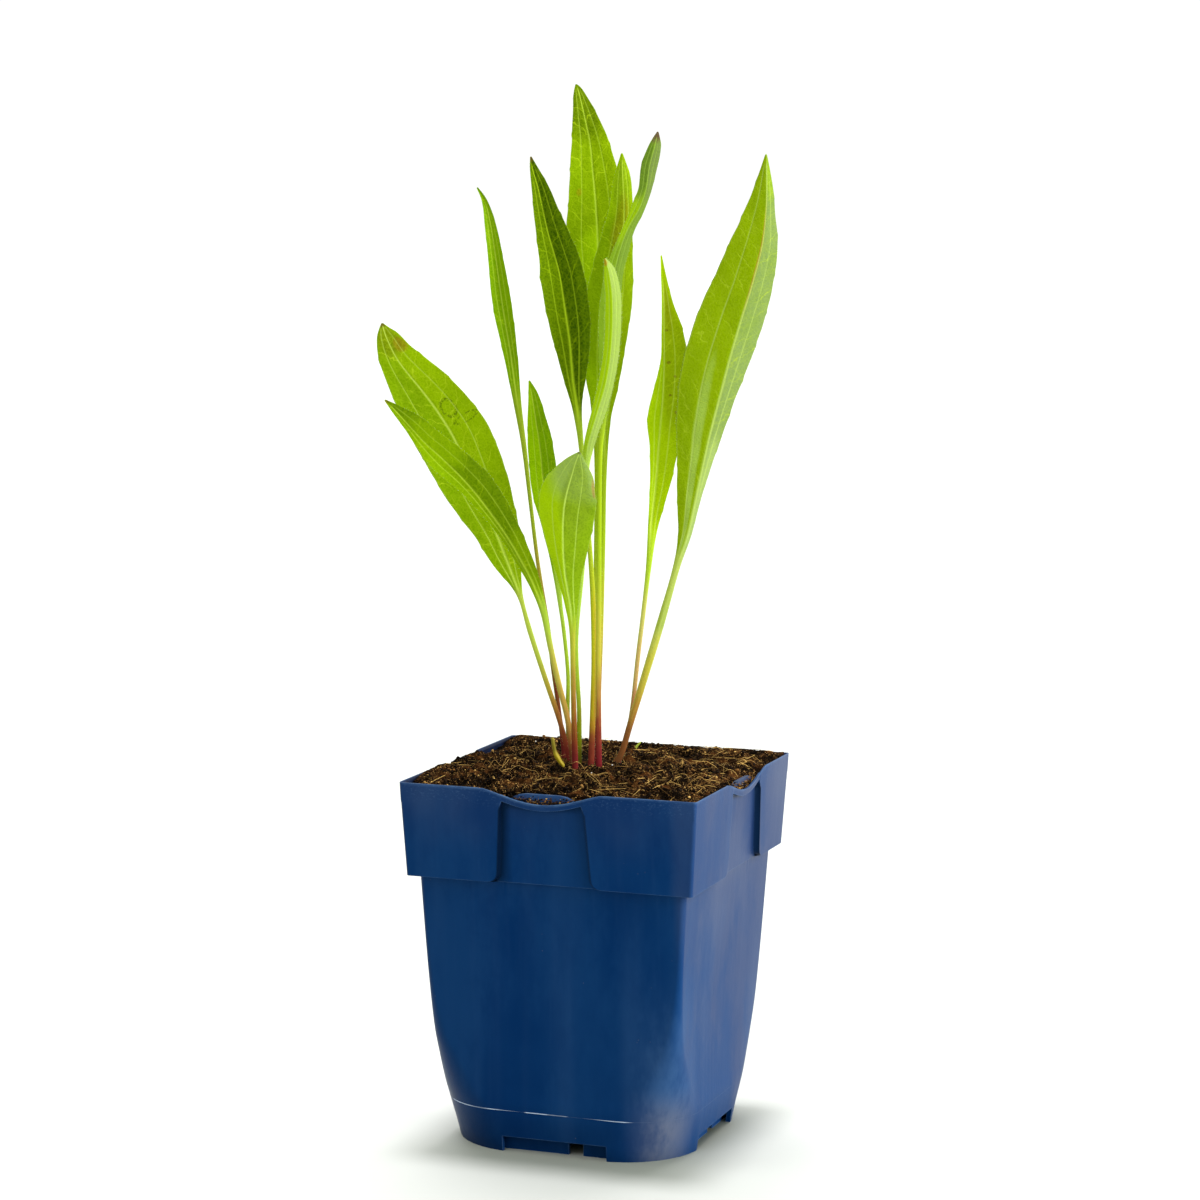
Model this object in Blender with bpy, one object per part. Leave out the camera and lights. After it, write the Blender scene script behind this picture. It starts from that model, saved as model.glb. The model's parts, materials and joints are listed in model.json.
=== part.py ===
"""Potted coneflower: a young plant of twelve upright leaves in a thin-walled square nursery pot.

The origin is the middle of the pot's base, +Z is up and the pot's front faces -Y.
Every size below is in millimetres, and MM turns it into Blender's metres.
"""

import math
from dataclasses import dataclass

import bmesh
import bpy
from mathutils import Vector

MM = 0.001
CLEARANCE = 0.3

# The pot: a drafted square bucket with a proud collar, a dipping rim and a notched foot.
POT_HEIGHT = 132.0
RIM_HALF = 55.0
COLLAR_BOTTOM = 98.5
COLLAR_BOTTOM_HALF = 53.0
COLLAR_CORNER = 1.3
SMALLEST_CORNER = 0.3
WALL = 1.1
FLOOR_UNDERSIDE = 5.8
FLOOR_TOP = 7.0
FOOT_WALL = 1.8
BODY_LEVELS = (
    # height, half width, corner radius
    (0.0, 44.8, 28.5),
    (5.8, 45.4, 26.5),
    (15.4, 46.8, 24.0),
    (22.3, 46.6, 17.6),
    (33.3, 46.7, 11.0),
    (44.3, 46.8, 5.5),
    (66.3, 47.7, 2.2),
    (98.5, 49.6, 2.2),
)
CORNER_STEPS = 5

# The sunken middle of each collar side, whose rim bows down into a label pocket.
RECESS_DEPTH = 2.0
RECESS_STEP = 0.8
RECESS_ROUNDING_TOP = 102.5
RECESS_FLARE = 0.7
INNER_STEP_SHIFT = 0.65
PANEL_SPACING = (3.8, 8.8)
MIDDLE_SPACING = 8.0
DIP_DEPTH = 3.8
DIP_REACH = 25.0
LIP_HEIGHT = 2.8
LIP_WALL = 0.9
POCKET_DEPTH = 1.8
POCKET_BACK_DROP = 1.3
BELOW_LIP = 124.5
BESIDE_LIP = (126.3, 127.3)

# The underside: notches through the foot, an inner ring with one gap a side, a hub and ribs.
NOTCH_HALF_WIDTH = 19.5
NOTCH_HEIGHT = 5.6
NOTCH_CUT = 6.0
CUT_PAST = 1.0
INNER_RING_HALF = 40.8
INNER_RING_REACH = 30.0
INNER_RING_GAP = (4.0, 9.5)
RIB = 1.3
HUB_RADIUS = 10.0
WELD = 0.5
DRAIN_RADIUS = 3.5
DRAIN_PLACES = ((25.0, 25.0), (27.0, -6.0))

# The potting soil: it follows the pot's inside and rises gently to the crown.
SOIL_EDGE = 129.7
SOIL_CROWN = 133.3
SOIL_RINGS = (0.86, 0.66, 0.44, 0.22)
SOIL_HEAP = (-22.0, 42.0, 9.0, 2.2)
STALK_BOTTOM = 126.0
SOCKET_GAP = 0.5
SOCKET_REACH = 12.0

# The leaves fan out in an upright plane turned this far from the pot's front.
FAN_TURN = math.radians(19.8)
BLADE_HALF_THICKNESS = 0.4
MIDRIB_HALF_THICKNESS = 0.6
ROUND_WIDTH = 1.1
FLAT_WIDTH = 2.5
WIDEST_STEM = 1.4
EIGHTH_TURN = math.sqrt(0.5)
TIP_WIDTH = 0.3
STALK_STEPS = 1
BLADE_STEPS = 2


@dataclass(frozen=True)
class Recess:
    """The left and right edges of one side's sunken middle, seen from outside."""

    top: tuple
    bottom: tuple

    @property
    def centre(self):
        return (self.top[0] + self.top[1]) / 2

    def edges(self, height):
        """Both edges at a height; below the rounding they flare out."""
        down = min((POT_HEIGHT - height) / (POT_HEIGHT - RECESS_ROUNDING_TOP), 1.0)
        flare = max(RECESS_ROUNDING_TOP - height, 0.0) * RECESS_FLARE
        left = self.top[0] + (self.bottom[0] - self.top[0]) * down - flare
        right = self.top[1] + (self.bottom[1] - self.top[1]) * down + flare
        return left, right


@dataclass(frozen=True)
class Row:
    """One level of the pot's skin: a rounded square whose sides can be sunk in the middle."""

    half: float
    corner: float
    height: object
    middle_height: object = None
    middle_inset: float = 0.0
    recess_height: float = RECESS_ROUNDING_TOP
    widen: float = 0.0


@dataclass(frozen=True)
class Leaf:
    """One leaf, stalk and blade in one, by points along its midrib.

    A stalk point is (across, up, towards, radius) and a blade point is
    (across, up, towards, left width, right width), in the fan's plane and out of it.
    A fold is how far a wing comes towards the fan's front for each unit of its width.
    """

    name: str
    fold: tuple
    stalk: tuple
    blade: tuple
    tip: tuple


FRONT_RECESS = Recess(top=(-17.0, 13.5), bottom=(-18.5, 16.0))
SIDE_RECESS = Recess(top=(-13.0, 19.5), bottom=(-12.5, 24.0))
SIDES = (
    # outward normal, direction from left to right seen from outside, recess
    (Vector((0, -1)), Vector((1, 0)), FRONT_RECESS),
    (Vector((1, 0)), Vector((0, 1)), SIDE_RECESS),
    (Vector((0, 1)), Vector((-1, 0)), FRONT_RECESS),
    (Vector((-1, 0)), Vector((0, -1)), SIDE_RECESS),
)

LEAVES = (
    Leaf(
        "arching_left_leaf",
        fold=(0.15, 0.15),
        stalk=((-10.4, 126, 0, 1.0), (-10.6, 134, 0, 1.0), (-14, 147.5, -1.5, 0.9),
               (-19, 162, -3, 0.9), (-25, 180, -5, 0.9)),
        blade=((-29, 194, -6, 1.2, 1.2), (-34, 207, -7.5, 5.5, 6), (-38, 217, -8.5, 7.5, 9),
               (-45, 232, -10, 11, 12.5), (-52, 248, -11.5, 13.2, 13.2), (-58, 258, -12.5, 13, 12),
               (-64, 266, -13.5, 11, 10.5), (-72.5, 276.5, -14.5, 7, 7.5), (-77, 285, -15.5, 4, 4.5)),
        tip=(-78.8, 290.5, -16),
    ),
    Leaf(
        "near_left_leaf",
        fold=(0.4, 0.5),
        stalk=((-9.2, 126, 5, 1.1), (-9.4, 135, 5, 1.1), (-11.3, 150, 6.5, 1.0),
               (-14.5, 163, 7.5, 1.0), (-17.6, 177, 9, 1.0)),
        blade=((-20, 189, 9.7, 1.1, 1.3), (-23, 198, 10.5, 1.5, 2.4), (-27, 206, 11, 1.8, 4),
               (-34, 218, 12, 2.2, 6), (-43, 230.5, 13, 3.2, 8.2), (-49, 237.5, 13.5, 4, 8),
               (-55.5, 244, 14.3, 4.8, 7.2), (-62, 250, 14.8, 3.2, 6.4), (-67, 255.5, 15.2, 2, 5.4),
               (-72, 261, 15.7, 1.2, 2.5)),
        tip=(-75.9, 265, 16),
    ),
    Leaf(
        "slender_leaf",
        fold=(0.7, 0.7),
        stalk=((-12.7, 126, -5, 0.9), (-12.8, 137, -5.3, 0.9), (-15, 154, -6.7, 0.8),
               (-17, 168, -7.8, 0.8), (-18.8, 182.5, -9, 0.7), (-22.4, 204, -11, 0.7),
               (-25.2, 226, -12.7, 0.7)),
        blade=((-27.6, 246, -14.3, 0.9, 0.9), (-30, 261.5, -15.5, 1.4, 1.4), (-32.5, 279, -17, 2.5, 2.5),
               (-35.6, 297, -18.5, 3.4, 3.4), (-38.2, 315, -20, 2.7, 2.6), (-40, 326, -21, 2.1, 1.9),
               (-42, 334, -21.6, 1.1, 0.9)),
        tip=(-44.9, 339, -22),
    ),
    Leaf(
        "short_leaf",
        fold=(0.3, 0.3),
        stalk=((-10.6, 126, -9, 0.9), (-10.8, 134, -9, 0.9), (-11.5, 150, -8, 0.8),
               (-11.4, 164, -7.4, 0.7), (-12.8, 179, -6.7, 0.7)),
        blade=((-14.5, 191.5, -6, 0.8, 0.9), (-16.6, 206, -5.3, 1.3, 2.6), (-18.8, 220.5, -4.6, 2.7, 4.3),
               (-20.2, 231.5, -4, 4.3, 5.3), (-21.7, 247, -3.2, 4.3, 4.8), (-23, 255.5, -2.8, 3.2, 4),
               (-24.6, 265.5, -2.3, 1.3, 2.4)),
        tip=(-25.6, 271, -2),
    ),
    Leaf(
        "front_oval_leaf",
        fold=(-0.35, -0.35),
        stalk=((-8.6, 126, 10.3, 1.1), (-8.6, 135, 10.5, 1.1), (-9, 149, 13, 1.0),
               (-9.4, 166, 16.2, 0.9)),
        blade=((-9.7, 183, 19.4, 1.0, 1.1), (-10.5, 193, 21.3, 1.8, 2.8), (-12.3, 204.5, 23.5, 3, 6.2),
               (-13, 214, 25.4, 5.4, 9), (-13, 225, 27.4, 8.2, 11), (-12, 232.5, 28.8, 9.3, 10.6),
               (-10, 240, 30.5, 6.8, 7.9), (-8.7, 244.5, 32, 3.8, 4.4)),
        tip=(-7.3, 248.5, 34),
    ),
    Leaf(
        "dark_leaf",
        fold=(0.45, 0.5),
        stalk=((-3, 126, 3, 1.1), (-2.9, 135, 3, 1.1), (-2.3, 156, 3, 1.0), (-2.1, 175, 3, 0.9),
               (-2.9, 200, 3.3, 0.9), (-5.2, 228.5, 3.4, 0.8)),
        blade=((-7, 249, 3.5, 1.0, 0.9), (-8.5, 262, 3.6, 1.8, 1.8), (-10, 271.5, 3.6, 3.1, 4.6),
               (-11.1, 284, 3.7, 5.4, 7.1), (-12.5, 294, 3.7, 6.5, 8.5), (-14.7, 308, 3.8, 6.9, 8.6),
               (-16.8, 316, 3.8, 5.5, 8), (-19, 323.5, 3.9, 4.2, 7), (-20.8, 331.5, 3.9, 3.3, 5.3),
               (-22.5, 339, 3.9, 2.3, 3.7), (-24.4, 345.5, 4, 1.0, 2)),
        tip=(-25.1, 350, 4),
    ),
    Leaf(
        "tallest_leaf",
        fold=(0.15, 0.15),
        stalk=((-2.3, 126, -6.8, 1.1), (-2.2, 134, -7, 1.1), (-2, 153.5, -9, 1.0),
               (-1.7, 178.5, -11.3, 0.9), (-1.4, 208, -14.2, 0.9)),
        blade=((-1.4, 241, -17.3, 0.9, 0.9), (-1.1, 262.5, -19.3, 2.8, 1.9), (-0.8, 284, -21.4, 6.9, 4.6),
               (-0.9, 302, -23, 10, 7.5), (-1.5, 320.5, -25, 11.4, 9.6), (-2.3, 333.5, -26, 9.9, 9.8),
               (-3.3, 344, -27, 8.4, 9), (-4.4, 355, -28, 6.8, 6.7), (-6.3, 364, -29, 4.6, 4.6),
               (-8.5, 373, -29.8, 2.0, 1.8)),
        tip=(-9.6, 376, -30),
    ),
    Leaf(
        "spotted_leaf",
        fold=(-0.2, -0.2),
        stalk=((-0.4, 126, -3, 1.1), (-0.4, 134, -3, 1.1), (-0.5, 154, -4, 1.0),
               (0.3, 179, -5.3, 0.9), (0.9, 210, -6.9, 0.9)),
        blade=((1.3, 237, -8.2, 1.1, 0.9), (1.5, 256, -9.2, 3.7, 2), (2.1, 268.5, -9.8, 7.2, 4.1),
               (3.1, 283, -10.6, 9.6, 5.6), (4.5, 299, -11.4, 10.2, 6.5), (5.8, 311.5, -12, 8.6, 5.5),
               (7.4, 322, -12.6, 7.4, 3.6), (8, 331, -13, 5.7, 3.1), (7.4, 342.5, -13.6, 3.2, 2.8)),
        tip=(7, 351.5, -14),
    ),
    Leaf(
        "twisted_leaf",
        fold=(0.5, -0.5),
        stalk=((-0.1, 126, 8, 1.1), (-0.1, 134.5, 8, 1.1), (-0.4, 157, 8.2, 1.0),
               (-0.4, 193, 8.5, 0.9), (-0.5, 221.5, 8.8, 0.9)),
        blade=((-0.3, 245, 9, 0.9, 0.9), (0.4, 257.5, 9.1, 1.3, 1.5), (1.7, 270, 9.2, 2.2, 2.4),
               (2.8, 285, 9.3, 3.8, 3.1), (3.6, 297, 9.4, 4.3, 3), (4.5, 308.5, 9.6, 3.5, 2.9),
               (6.2, 316.5, 9.6, 2.6, 3), (9.2, 325, 9.7, 1.9, 2.4), (13.2, 332, 9.8, 3, 1.8),
               (15.4, 338.5, 9.8, 2.8, 1.9), (16.7, 347, 9.9, 3, 2.7), (18.4, 354, 10, 2, 2.2)),
        tip=(19.4, 358.8, 10),
    ),
    Leaf(
        "pale_leaf",
        fold=(-0.5, -0.8),
        stalk=((-7.3, 126, 1, 1.0), (-7.3, 134.5, 1, 1.0), (-7.3, 153.5, 3.3, 0.8),
               (-8.3, 170, 5.3, 0.8), (-8.3, 183, 6.7, 0.8), (-6.3, 205, 9.3, 0.8),
               (-5.6, 222, 11.2, 0.8)),
        blade=((-5.2, 240, 13.4, 1.0, 1.1), (-4.6, 248, 14.2, 1.5, 2.0), (-3, 254.5, 15, 1.9, 2.3),
               (-0.3, 263.5, 16, 2.4, 2.7), (2.1, 272.5, 17, 2.8, 2.6), (3.5, 283, 18.3, 2.6, 2.8),
               (4, 293, 19.5, 2.7, 2.9), (3.8, 302, 20.5, 2.5, 2.9), (2.6, 310, 21.4, 1.8, 2.3)),
        tip=(1.1, 315, 22),
    ),
    Leaf(
        "narrow_right_leaf",
        fold=(0.4, 0.4),
        stalk=((6.8, 126, -1.5, 1.0), (6.9, 133.5, -1.5, 1.0), (9.7, 142, -1.7, 0.8),
               (11.8, 153, -2, 0.8), (13.7, 171.5, -2.4, 0.8)),
        blade=((15.5, 187, -2.8, 0.8, 0.8), (17.2, 203, -3.2, 0.9, 1.0), (18, 218, -3.5, 1.0, 2.5),
               (19.8, 235.5, -4, 2.2, 5.4), (20.6, 247, -4.3, 3.2, 7), (21.4, 257, -4.6, 4.9, 7.4),
               (22.1, 266, -4.8, 3.8, 8.1), (22.4, 278, -5.1, 1.3, 8.4), (22.3, 288.5, -5.3, 0.9, 6.8),
               (22.2, 299.5, -5.6, 0.8, 3), (21.7, 308, -5.8, 0.6, 1.3)),
        tip=(21.1, 315.5, -6),
    ),
    Leaf(
        "broad_right_leaf",
        fold=(-0.1, -0.9),
        stalk=((4.9, 126, 5, 1.2), (5.2, 133, 5, 1.2), (8, 138, 5.2, 1.1), (11, 148.5, 5.8, 1.1),
               (15.8, 165, 6.6, 1.3), (21.4, 184.5, 7.7, 1.4)),
        blade=((27, 205, 8.6, 1.3, 1.2), (31, 217, 9.2, 3.6, 1.3), (33.8, 230, 9.9, 6.9, 1.8),
               (36.1, 241.5, 10.5, 9.3, 3), (38.8, 254, 11, 12.5, 4.5), (42.2, 267.5, 11.8, 15.2, 5.7),
               (45.1, 279, 12.4, 15.8, 7.2), (49, 293, 13, 15.2, 8.1), (52.7, 305.5, 13.7, 13.4, 7.5),
               (56, 319, 14.4, 11.3, 5.8), (57.2, 330, 14.9, 8, 3.5), (57.4, 340, 15.5, 4.4, 2.2)),
        tip=(57, 351.3, 16),
    ),
)
OLD_STALK = ((-12.2, 126, 9.5, 1.1), (-12.4, 133, 9.5, 1.1), (-14, 136, 9.5, 1.0),
             (-15.8, 139.5, 9.5, 0.9), (-16.8, 144, 9.5, 0.6))
SPROUT = ((12.4, 126, -28, 0.7), (12.5, 132, -28, 0.7), (13.4, 134.5, -28.4, 1.0), (15.2, 136.5, -29, 0.5))


def clear_scene():
    """Remove every object so that the model is built on its own."""
    for old in list(bpy.data.objects):
        bpy.data.objects.remove(old, do_unlink=True)


def make_collection(name):
    """A new collection in the scene."""
    collection = bpy.data.collections.new(name)
    bpy.context.scene.collection.children.link(collection)
    return collection


def make_material(name, colour, roughness):
    """A Principled BSDF of one colour."""
    material = bpy.data.materials.new(name)
    material.use_nodes = True
    shader = material.node_tree.nodes["Principled BSDF"]
    shader.inputs["Base Color"].default_value = (*colour, 1.0)
    shader.inputs["Roughness"].default_value = roughness
    shader.inputs["Metallic"].default_value = 0.0
    return material


def finish_object(name, bm, collection, material, sharp_angle=40.0):
    """Turn a bmesh in millimetres into a smooth-shaded object in metres."""
    bmesh.ops.recalc_face_normals(bm, faces=bm.faces)
    bmesh.ops.scale(bm, vec=(MM, MM, MM), verts=bm.verts)
    mesh = bpy.data.meshes.new(name)
    bm.to_mesh(mesh)
    bm.free()
    mesh.shade_smooth()
    mesh.set_sharp_from_angle(angle=math.radians(sharp_angle))
    thing = bpy.data.objects.new(name, mesh)
    collection.objects.link(thing)
    if material:
        mesh.materials.append(material)
    return thing


def loft(bm, rings, close_last=True):
    """Skin rings of equal length in order and cap the first, and the last unless told not to."""
    rows = [[bm.verts.new(point) for point in ring] for ring in rings]
    for lower, upper in zip(rows, rows[1:]):
        for index in range(len(lower)):
            after = (index + 1) % len(lower)
            bm.faces.new((lower[index], lower[after], upper[after], upper[index]))
    bm.faces.new(list(reversed(rows[0])))
    if close_last:
        bm.faces.new(rows[-1])
    return rows


def rim_drop(off_centre):
    """How far the rim has dipped at a distance from the recess's middle."""
    inside = 1.0 - (off_centre / DIP_REACH) ** 2
    return DIP_DEPTH * inside ** 1.5 if inside > 0 else 0.0


def rim_top(off_centre):
    return POT_HEIGHT - rim_drop(off_centre)


def lip_bottom(off_centre):
    return rim_top(off_centre) - LIP_HEIGHT


def pocket_floor(off_centre):
    return rim_top(off_centre) - POCKET_DEPTH


def level(height):
    """A height that is the same all the way round."""
    return lambda off_centre: height


def collar_half(height):
    """The collar's half width over its proud panels."""
    up = (height - COLLAR_BOTTOM) / (POT_HEIGHT - COLLAR_BOTTOM)
    return COLLAR_BOTTOM_HALF + (RIM_HALF - COLLAR_BOTTOM_HALF) * up


def side_places(recess, height, widen):
    """Where the upright lines of points stand on one side, and whether each is in its middle."""
    left, right = recess.edges(height)
    left -= widen
    right += widen
    near, far = PANEL_SPACING
    panel_left = [(left - far, False), (left - near, False), (left, False)]
    panel_right = [(right, False), (right + near, False), (right + far, False)]
    centre = (left + right) / 2
    middle = [left + RECESS_STEP, centre - MIDDLE_SPACING, centre, centre + MIDDLE_SPACING]
    middle.append(right - RECESS_STEP)
    return panel_left + [(place, True) for place in middle] + panel_right


def ring(row):
    """The points of one row, once round the pot."""
    points = []
    reach = (row.half - row.corner) / (COLLAR_BOTTOM_HALF - COLLAR_CORNER)
    squeeze = min(reach, 1.0)
    for normal, along, recess in SIDES:
        for place, in_middle in side_places(recess, row.recess_height, row.widen):
            off_centre = abs(place - recess.centre)
            inset = row.middle_inset if in_middle else 0.0
            height = row.middle_height if in_middle and row.middle_height else row.height
            flat = normal * (row.half - inset) + along * (place * squeeze)
            points.append(Vector((flat.x, flat.y, height(off_centre))))
        for step in range(CORNER_STEPS + 1):
            angle = math.pi / 2 * step / CORNER_STEPS
            spoke = normal * math.cos(angle) + along * math.sin(angle)
            flat = (normal + along) * (row.half - row.corner) + spoke * row.corner
            points.append(Vector((flat.x, flat.y, row.height(DIP_REACH))))
    return points


def body_half(height):
    """The body's half width and corner radius at a height between two of its levels."""
    for lower, upper in zip(BODY_LEVELS, BODY_LEVELS[1:]):
        if height <= upper[0]:
            share = (height - lower[0]) / (upper[0] - lower[0])
            half = lower[1] + (upper[1] - lower[1]) * share
            corner = lower[2] + (upper[2] - lower[2]) * share
            return half, corner
    return BODY_LEVELS[-1][1:]


def body_row(height, inset=0.0):
    """A plain row of the body, moved inwards by inset."""
    half, corner = body_half(height)
    return Row(half - inset, corner - inset, level(height))


def collar_row(height, inset=0.0):
    """A row of the collar with its sunk middles, moved inwards by inset."""
    return Row(
        collar_half(height) - inset,
        max(COLLAR_CORNER - inset, SMALLEST_CORNER),
        level(height),
        middle_inset=RECESS_DEPTH,
        recess_height=height,
        widen=inset * INNER_STEP_SHIFT,
    )


def rim_row(half, height, middle_half, middle_height):
    """A row close to the rim, where panels and middles part company."""
    return Row(
        half,
        max(COLLAR_CORNER - (RIM_HALF - half), SMALLEST_CORNER),
        height,
        middle_height=middle_height,
        middle_inset=half - middle_half,
        recess_height=POT_HEIGHT,
    )


def rim_rows():
    """The rim from under the lip, over its bow and pocket, to the inner edge."""
    under, over = BESIDE_LIP
    lip_back = RIM_HALF - LIP_WALL
    pocket_wall = RIM_HALF - RECESS_DEPTH
    pocket_back = level(POT_HEIGHT - POCKET_BACK_DROP)
    return [
        rim_row(collar_half(under), level(under), collar_half(under) - RECESS_DEPTH, lip_bottom),
        rim_row(collar_half(over), level(over), collar_half(over), lip_bottom),
        rim_row(RIM_HALF, rim_top, RIM_HALF, rim_top),
        rim_row(RIM_HALF - 0.2 * WALL, rim_top, lip_back, rim_top),
        rim_row(RIM_HALF - 0.4 * WALL, rim_top, lip_back, pocket_floor),
        rim_row(RIM_HALF - 0.6 * WALL, rim_top, pocket_wall, pocket_floor),
        rim_row(RIM_HALF - 0.8 * WALL, rim_top, pocket_wall, pocket_back),
        rim_row(RIM_HALF - WALL, rim_top, pocket_wall - WALL, pocket_back),
    ]


def inner_rows(inset):
    """The inside of the pot from the collar's ledge down to just above the floor."""
    ledge = COLLAR_BOTTOM + inset
    _, body_top_half, body_top_corner = BODY_LEVELS[-1]
    rows = [collar_row(ledge, inset)]
    rows.append(Row(body_top_half - inset, body_top_corner - inset, level(ledge)))
    rows += [body_row(height, inset) for height, _, _ in reversed(BODY_LEVELS[2:-1])]
    return rows


def make_pot(collection, cutters):
    """The pot in one thin skin, then its ribs joined on and its notches and drain holes cut."""
    rows = [body_row(FLOOR_UNDERSIDE, FOOT_WALL), body_row(0.0, FOOT_WALL)]
    rows += [body_row(height) for height, _, _ in BODY_LEVELS]
    rows += [collar_row(COLLAR_BOTTOM), collar_row(RECESS_ROUNDING_TOP), collar_row(BELOW_LIP)]
    rows += rim_rows()
    rows += inner_rows(WALL)
    rows.append(body_row(FLOOR_TOP, WALL))
    bm = bmesh.new()
    loft(bm, [ring(row) for row in rows])
    material = make_material("pot_plastic", (0.012, 0.062, 0.165), 0.42)
    pot = finish_object("pot", bm, collection, material)
    add_boolean(pot, "UNION", make_ribs(cutters))
    add_boolean(pot, "DIFFERENCE", make_notches(cutters))
    return pot


def make_box(collection, name, low, high):
    """A box between two corners, in millimetres."""
    low, high = Vector(low), Vector(high)
    bm = bmesh.new()
    bmesh.ops.create_cube(bm, size=1.0)
    bmesh.ops.scale(bm, vec=high - low, verts=bm.verts)
    bmesh.ops.translate(bm, vec=(low + high) / 2, verts=bm.verts)
    return finish_object(name, bm, collection, None)


def make_drum(collection, name, centre, radius, bottom, top, segments=16):
    """An upright cylinder, in millimetres."""
    bm = bmesh.new()
    bmesh.ops.create_cone(
        bm, cap_ends=True, segments=segments, radius1=radius, radius2=radius, depth=top - bottom
    )
    bmesh.ops.translate(bm, vec=(centre[0], centre[1], (top + bottom) / 2), verts=bm.verts)
    return finish_object(name, bm, collection, None)


def turned(low, high, quarter):
    """A box's two corners after quarter turns about the upright axis."""
    corners = []
    for x, y in ((low[0], low[1]), (high[0], high[1])):
        for _ in range(quarter):
            x, y = -y, x
        corners.append((x, y))
    xs = sorted(corner[0] for corner in corners)
    ys = sorted(corner[1] for corner in corners)
    return (xs[0], ys[0], low[2]), (xs[1], ys[1], high[2])


def make_ribs(cutters):
    """The hub, the inner ring's bars and the ribs that tie them, all under the floor."""
    group = bpy.data.collections.new("pot_ribs")
    cutters.children.link(group)
    top = FLOOR_UNDERSIDE + WELD
    make_drum(group, "hub_tool", (0, 0), HUB_RADIUS, 0.0, top, 24)
    front = -INNER_RING_HALF
    back = front + RIB
    bars = (
        ((-INNER_RING_REACH, front), (INNER_RING_GAP[0], back)),
        ((INNER_RING_GAP[1], front), (INNER_RING_REACH, back)),
        ((-RIB / 2, front + RIB / 2), (RIB / 2, WELD - HUB_RADIUS)),
    )
    for quarter in range(4):
        for index, (low, high) in enumerate(bars):
            corners = turned((*low, 0.0), (*high, top), quarter)
            make_box(group, f"rib_tool_{quarter}_{index}", *corners)
    return group


def make_notches(cutters):
    """The four notches through the foot and the drain holes through the floor."""
    group = bpy.data.collections.new("pot_openings")
    cutters.children.link(group)
    low = (-NOTCH_HALF_WIDTH, -INNER_RING_HALF - NOTCH_CUT, -CUT_PAST)
    high = (NOTCH_HALF_WIDTH, -INNER_RING_HALF - WELD, NOTCH_HEIGHT)
    for quarter in range(4):
        make_box(group, f"notch_tool_{quarter}", *turned(low, high, quarter))
        for index, (x, y) in enumerate(DRAIN_PLACES):
            for _ in range(quarter):
                x, y = -y, x
            name = f"drain_tool_{quarter}_{index}"
            bottom = FLOOR_UNDERSIDE - CUT_PAST
            make_drum(group, name, (x, y), DRAIN_RADIUS, bottom, FLOOR_TOP + CUT_PAST, 12)
    return group


def add_boolean(target, operation, group):
    """Join or cut with every tool in a collection, and keep the tools out of sight."""
    for tool in group.objects:
        tool.hide_render = True
        tool.display_type = "WIRE"
    modifier = target.modifiers.new(operation.title(), "BOOLEAN")
    modifier.operation = operation
    modifier.solver = "EXACT"
    modifier.operand_type = "COLLECTION"
    modifier.collection = group


def soil_height(point, share):
    """The soil's top: a low mound with one heap at the back, which fades out at the edge."""
    mound = (SOIL_CROWN - SOIL_EDGE) * (1.0 - share * share)
    heap_x, heap_y, heap_width, heap_rise = SOIL_HEAP
    away = (point.x - heap_x) ** 2 + (point.y - heap_y) ** 2
    return SOIL_EDGE + mound + heap_rise * math.exp(-away / heap_width ** 2)


def make_soil(collection, cutters):
    """The soil: the pot's inside less a gap, closed by a gently mounded top."""
    inset = WALL + CLEARANCE
    rows = [body_row(FLOOR_TOP + CLEARANCE, inset)] + inner_rows(inset)[::-1]
    edge = ring(collar_row(SOIL_EDGE, inset))
    rings = [ring(row) for row in rows] + [edge]
    for share in SOIL_RINGS:
        shrunk = [Vector((point.x * share, point.y * share, 0.0)) for point in edge]
        for point in shrunk:
            point.z = soil_height(point, share)
        rings.append(shrunk)
    bm = bmesh.new()
    rows = loft(bm, rings, close_last=False)
    crown = bm.verts.new((0, 0, SOIL_CROWN))
    last = rows[-1]
    for index, vert in enumerate(last):
        bm.faces.new((vert, last[(index + 1) % len(last)], crown))
    material = make_material("potting_soil", (0.045, 0.026, 0.014), 0.95)
    soil = finish_object("potting_soil", bm, collection, material, 60.0)
    add_boolean(soil, "DIFFERENCE", make_sockets(cutters))
    return soil


def make_sockets(cutters):
    """One upright socket in the soil for each stalk."""
    group = bpy.data.collections.new("soil_sockets")
    cutters.children.link(group)
    feet = [leaf.stalk[0] for leaf in LEAVES] + [OLD_STALK[0], SPROUT[0]]
    for index, (across, _, towards, radius) in enumerate(feet):
        centre = fan_to_world((across, 0.0, towards))
        bottom = STALK_BOTTOM - CLEARANCE
        top = STALK_BOTTOM + SOCKET_REACH
        make_drum(group, f"socket_tool_{index}", centre, radius + SOCKET_GAP, bottom, top, 10)
    return group


def fan_to_world(point):
    """A point of the fan, (across, up, towards), in the pot's own directions."""
    across, up, towards = point
    x = across * math.cos(FAN_TURN) + towards * math.sin(FAN_TURN)
    y = across * math.sin(FAN_TURN) - towards * math.cos(FAN_TURN)
    return Vector((x, y, up))


def smooth_through(rows, steps):
    """A Catmull-Rom curve through rows of numbers, with the given steps in each span."""
    result = []
    last = len(rows) - 1
    for index in range(last):
        before, start = rows[max(index - 1, 0)], rows[index]
        end, after = rows[index + 1], rows[min(index + 2, last)]
        for step in range(steps[index]):
            t = step / steps[index]
            weights = (
                (-t + 2 * t * t - t ** 3) / 2,
                (2 - 5 * t * t + 3 * t ** 3) / 2,
                (t + 4 * t * t - 3 * t ** 3) / 2,
                (t ** 3 - t * t) / 2,
            )
            spans = zip(before, start, end, after)
            result.append([sum(w * value for w, value in zip(weights, four)) for four in spans])
    result.append(list(rows[-1]))
    return result


def blend(start, end, share):
    return start + (end - start) * share


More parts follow.
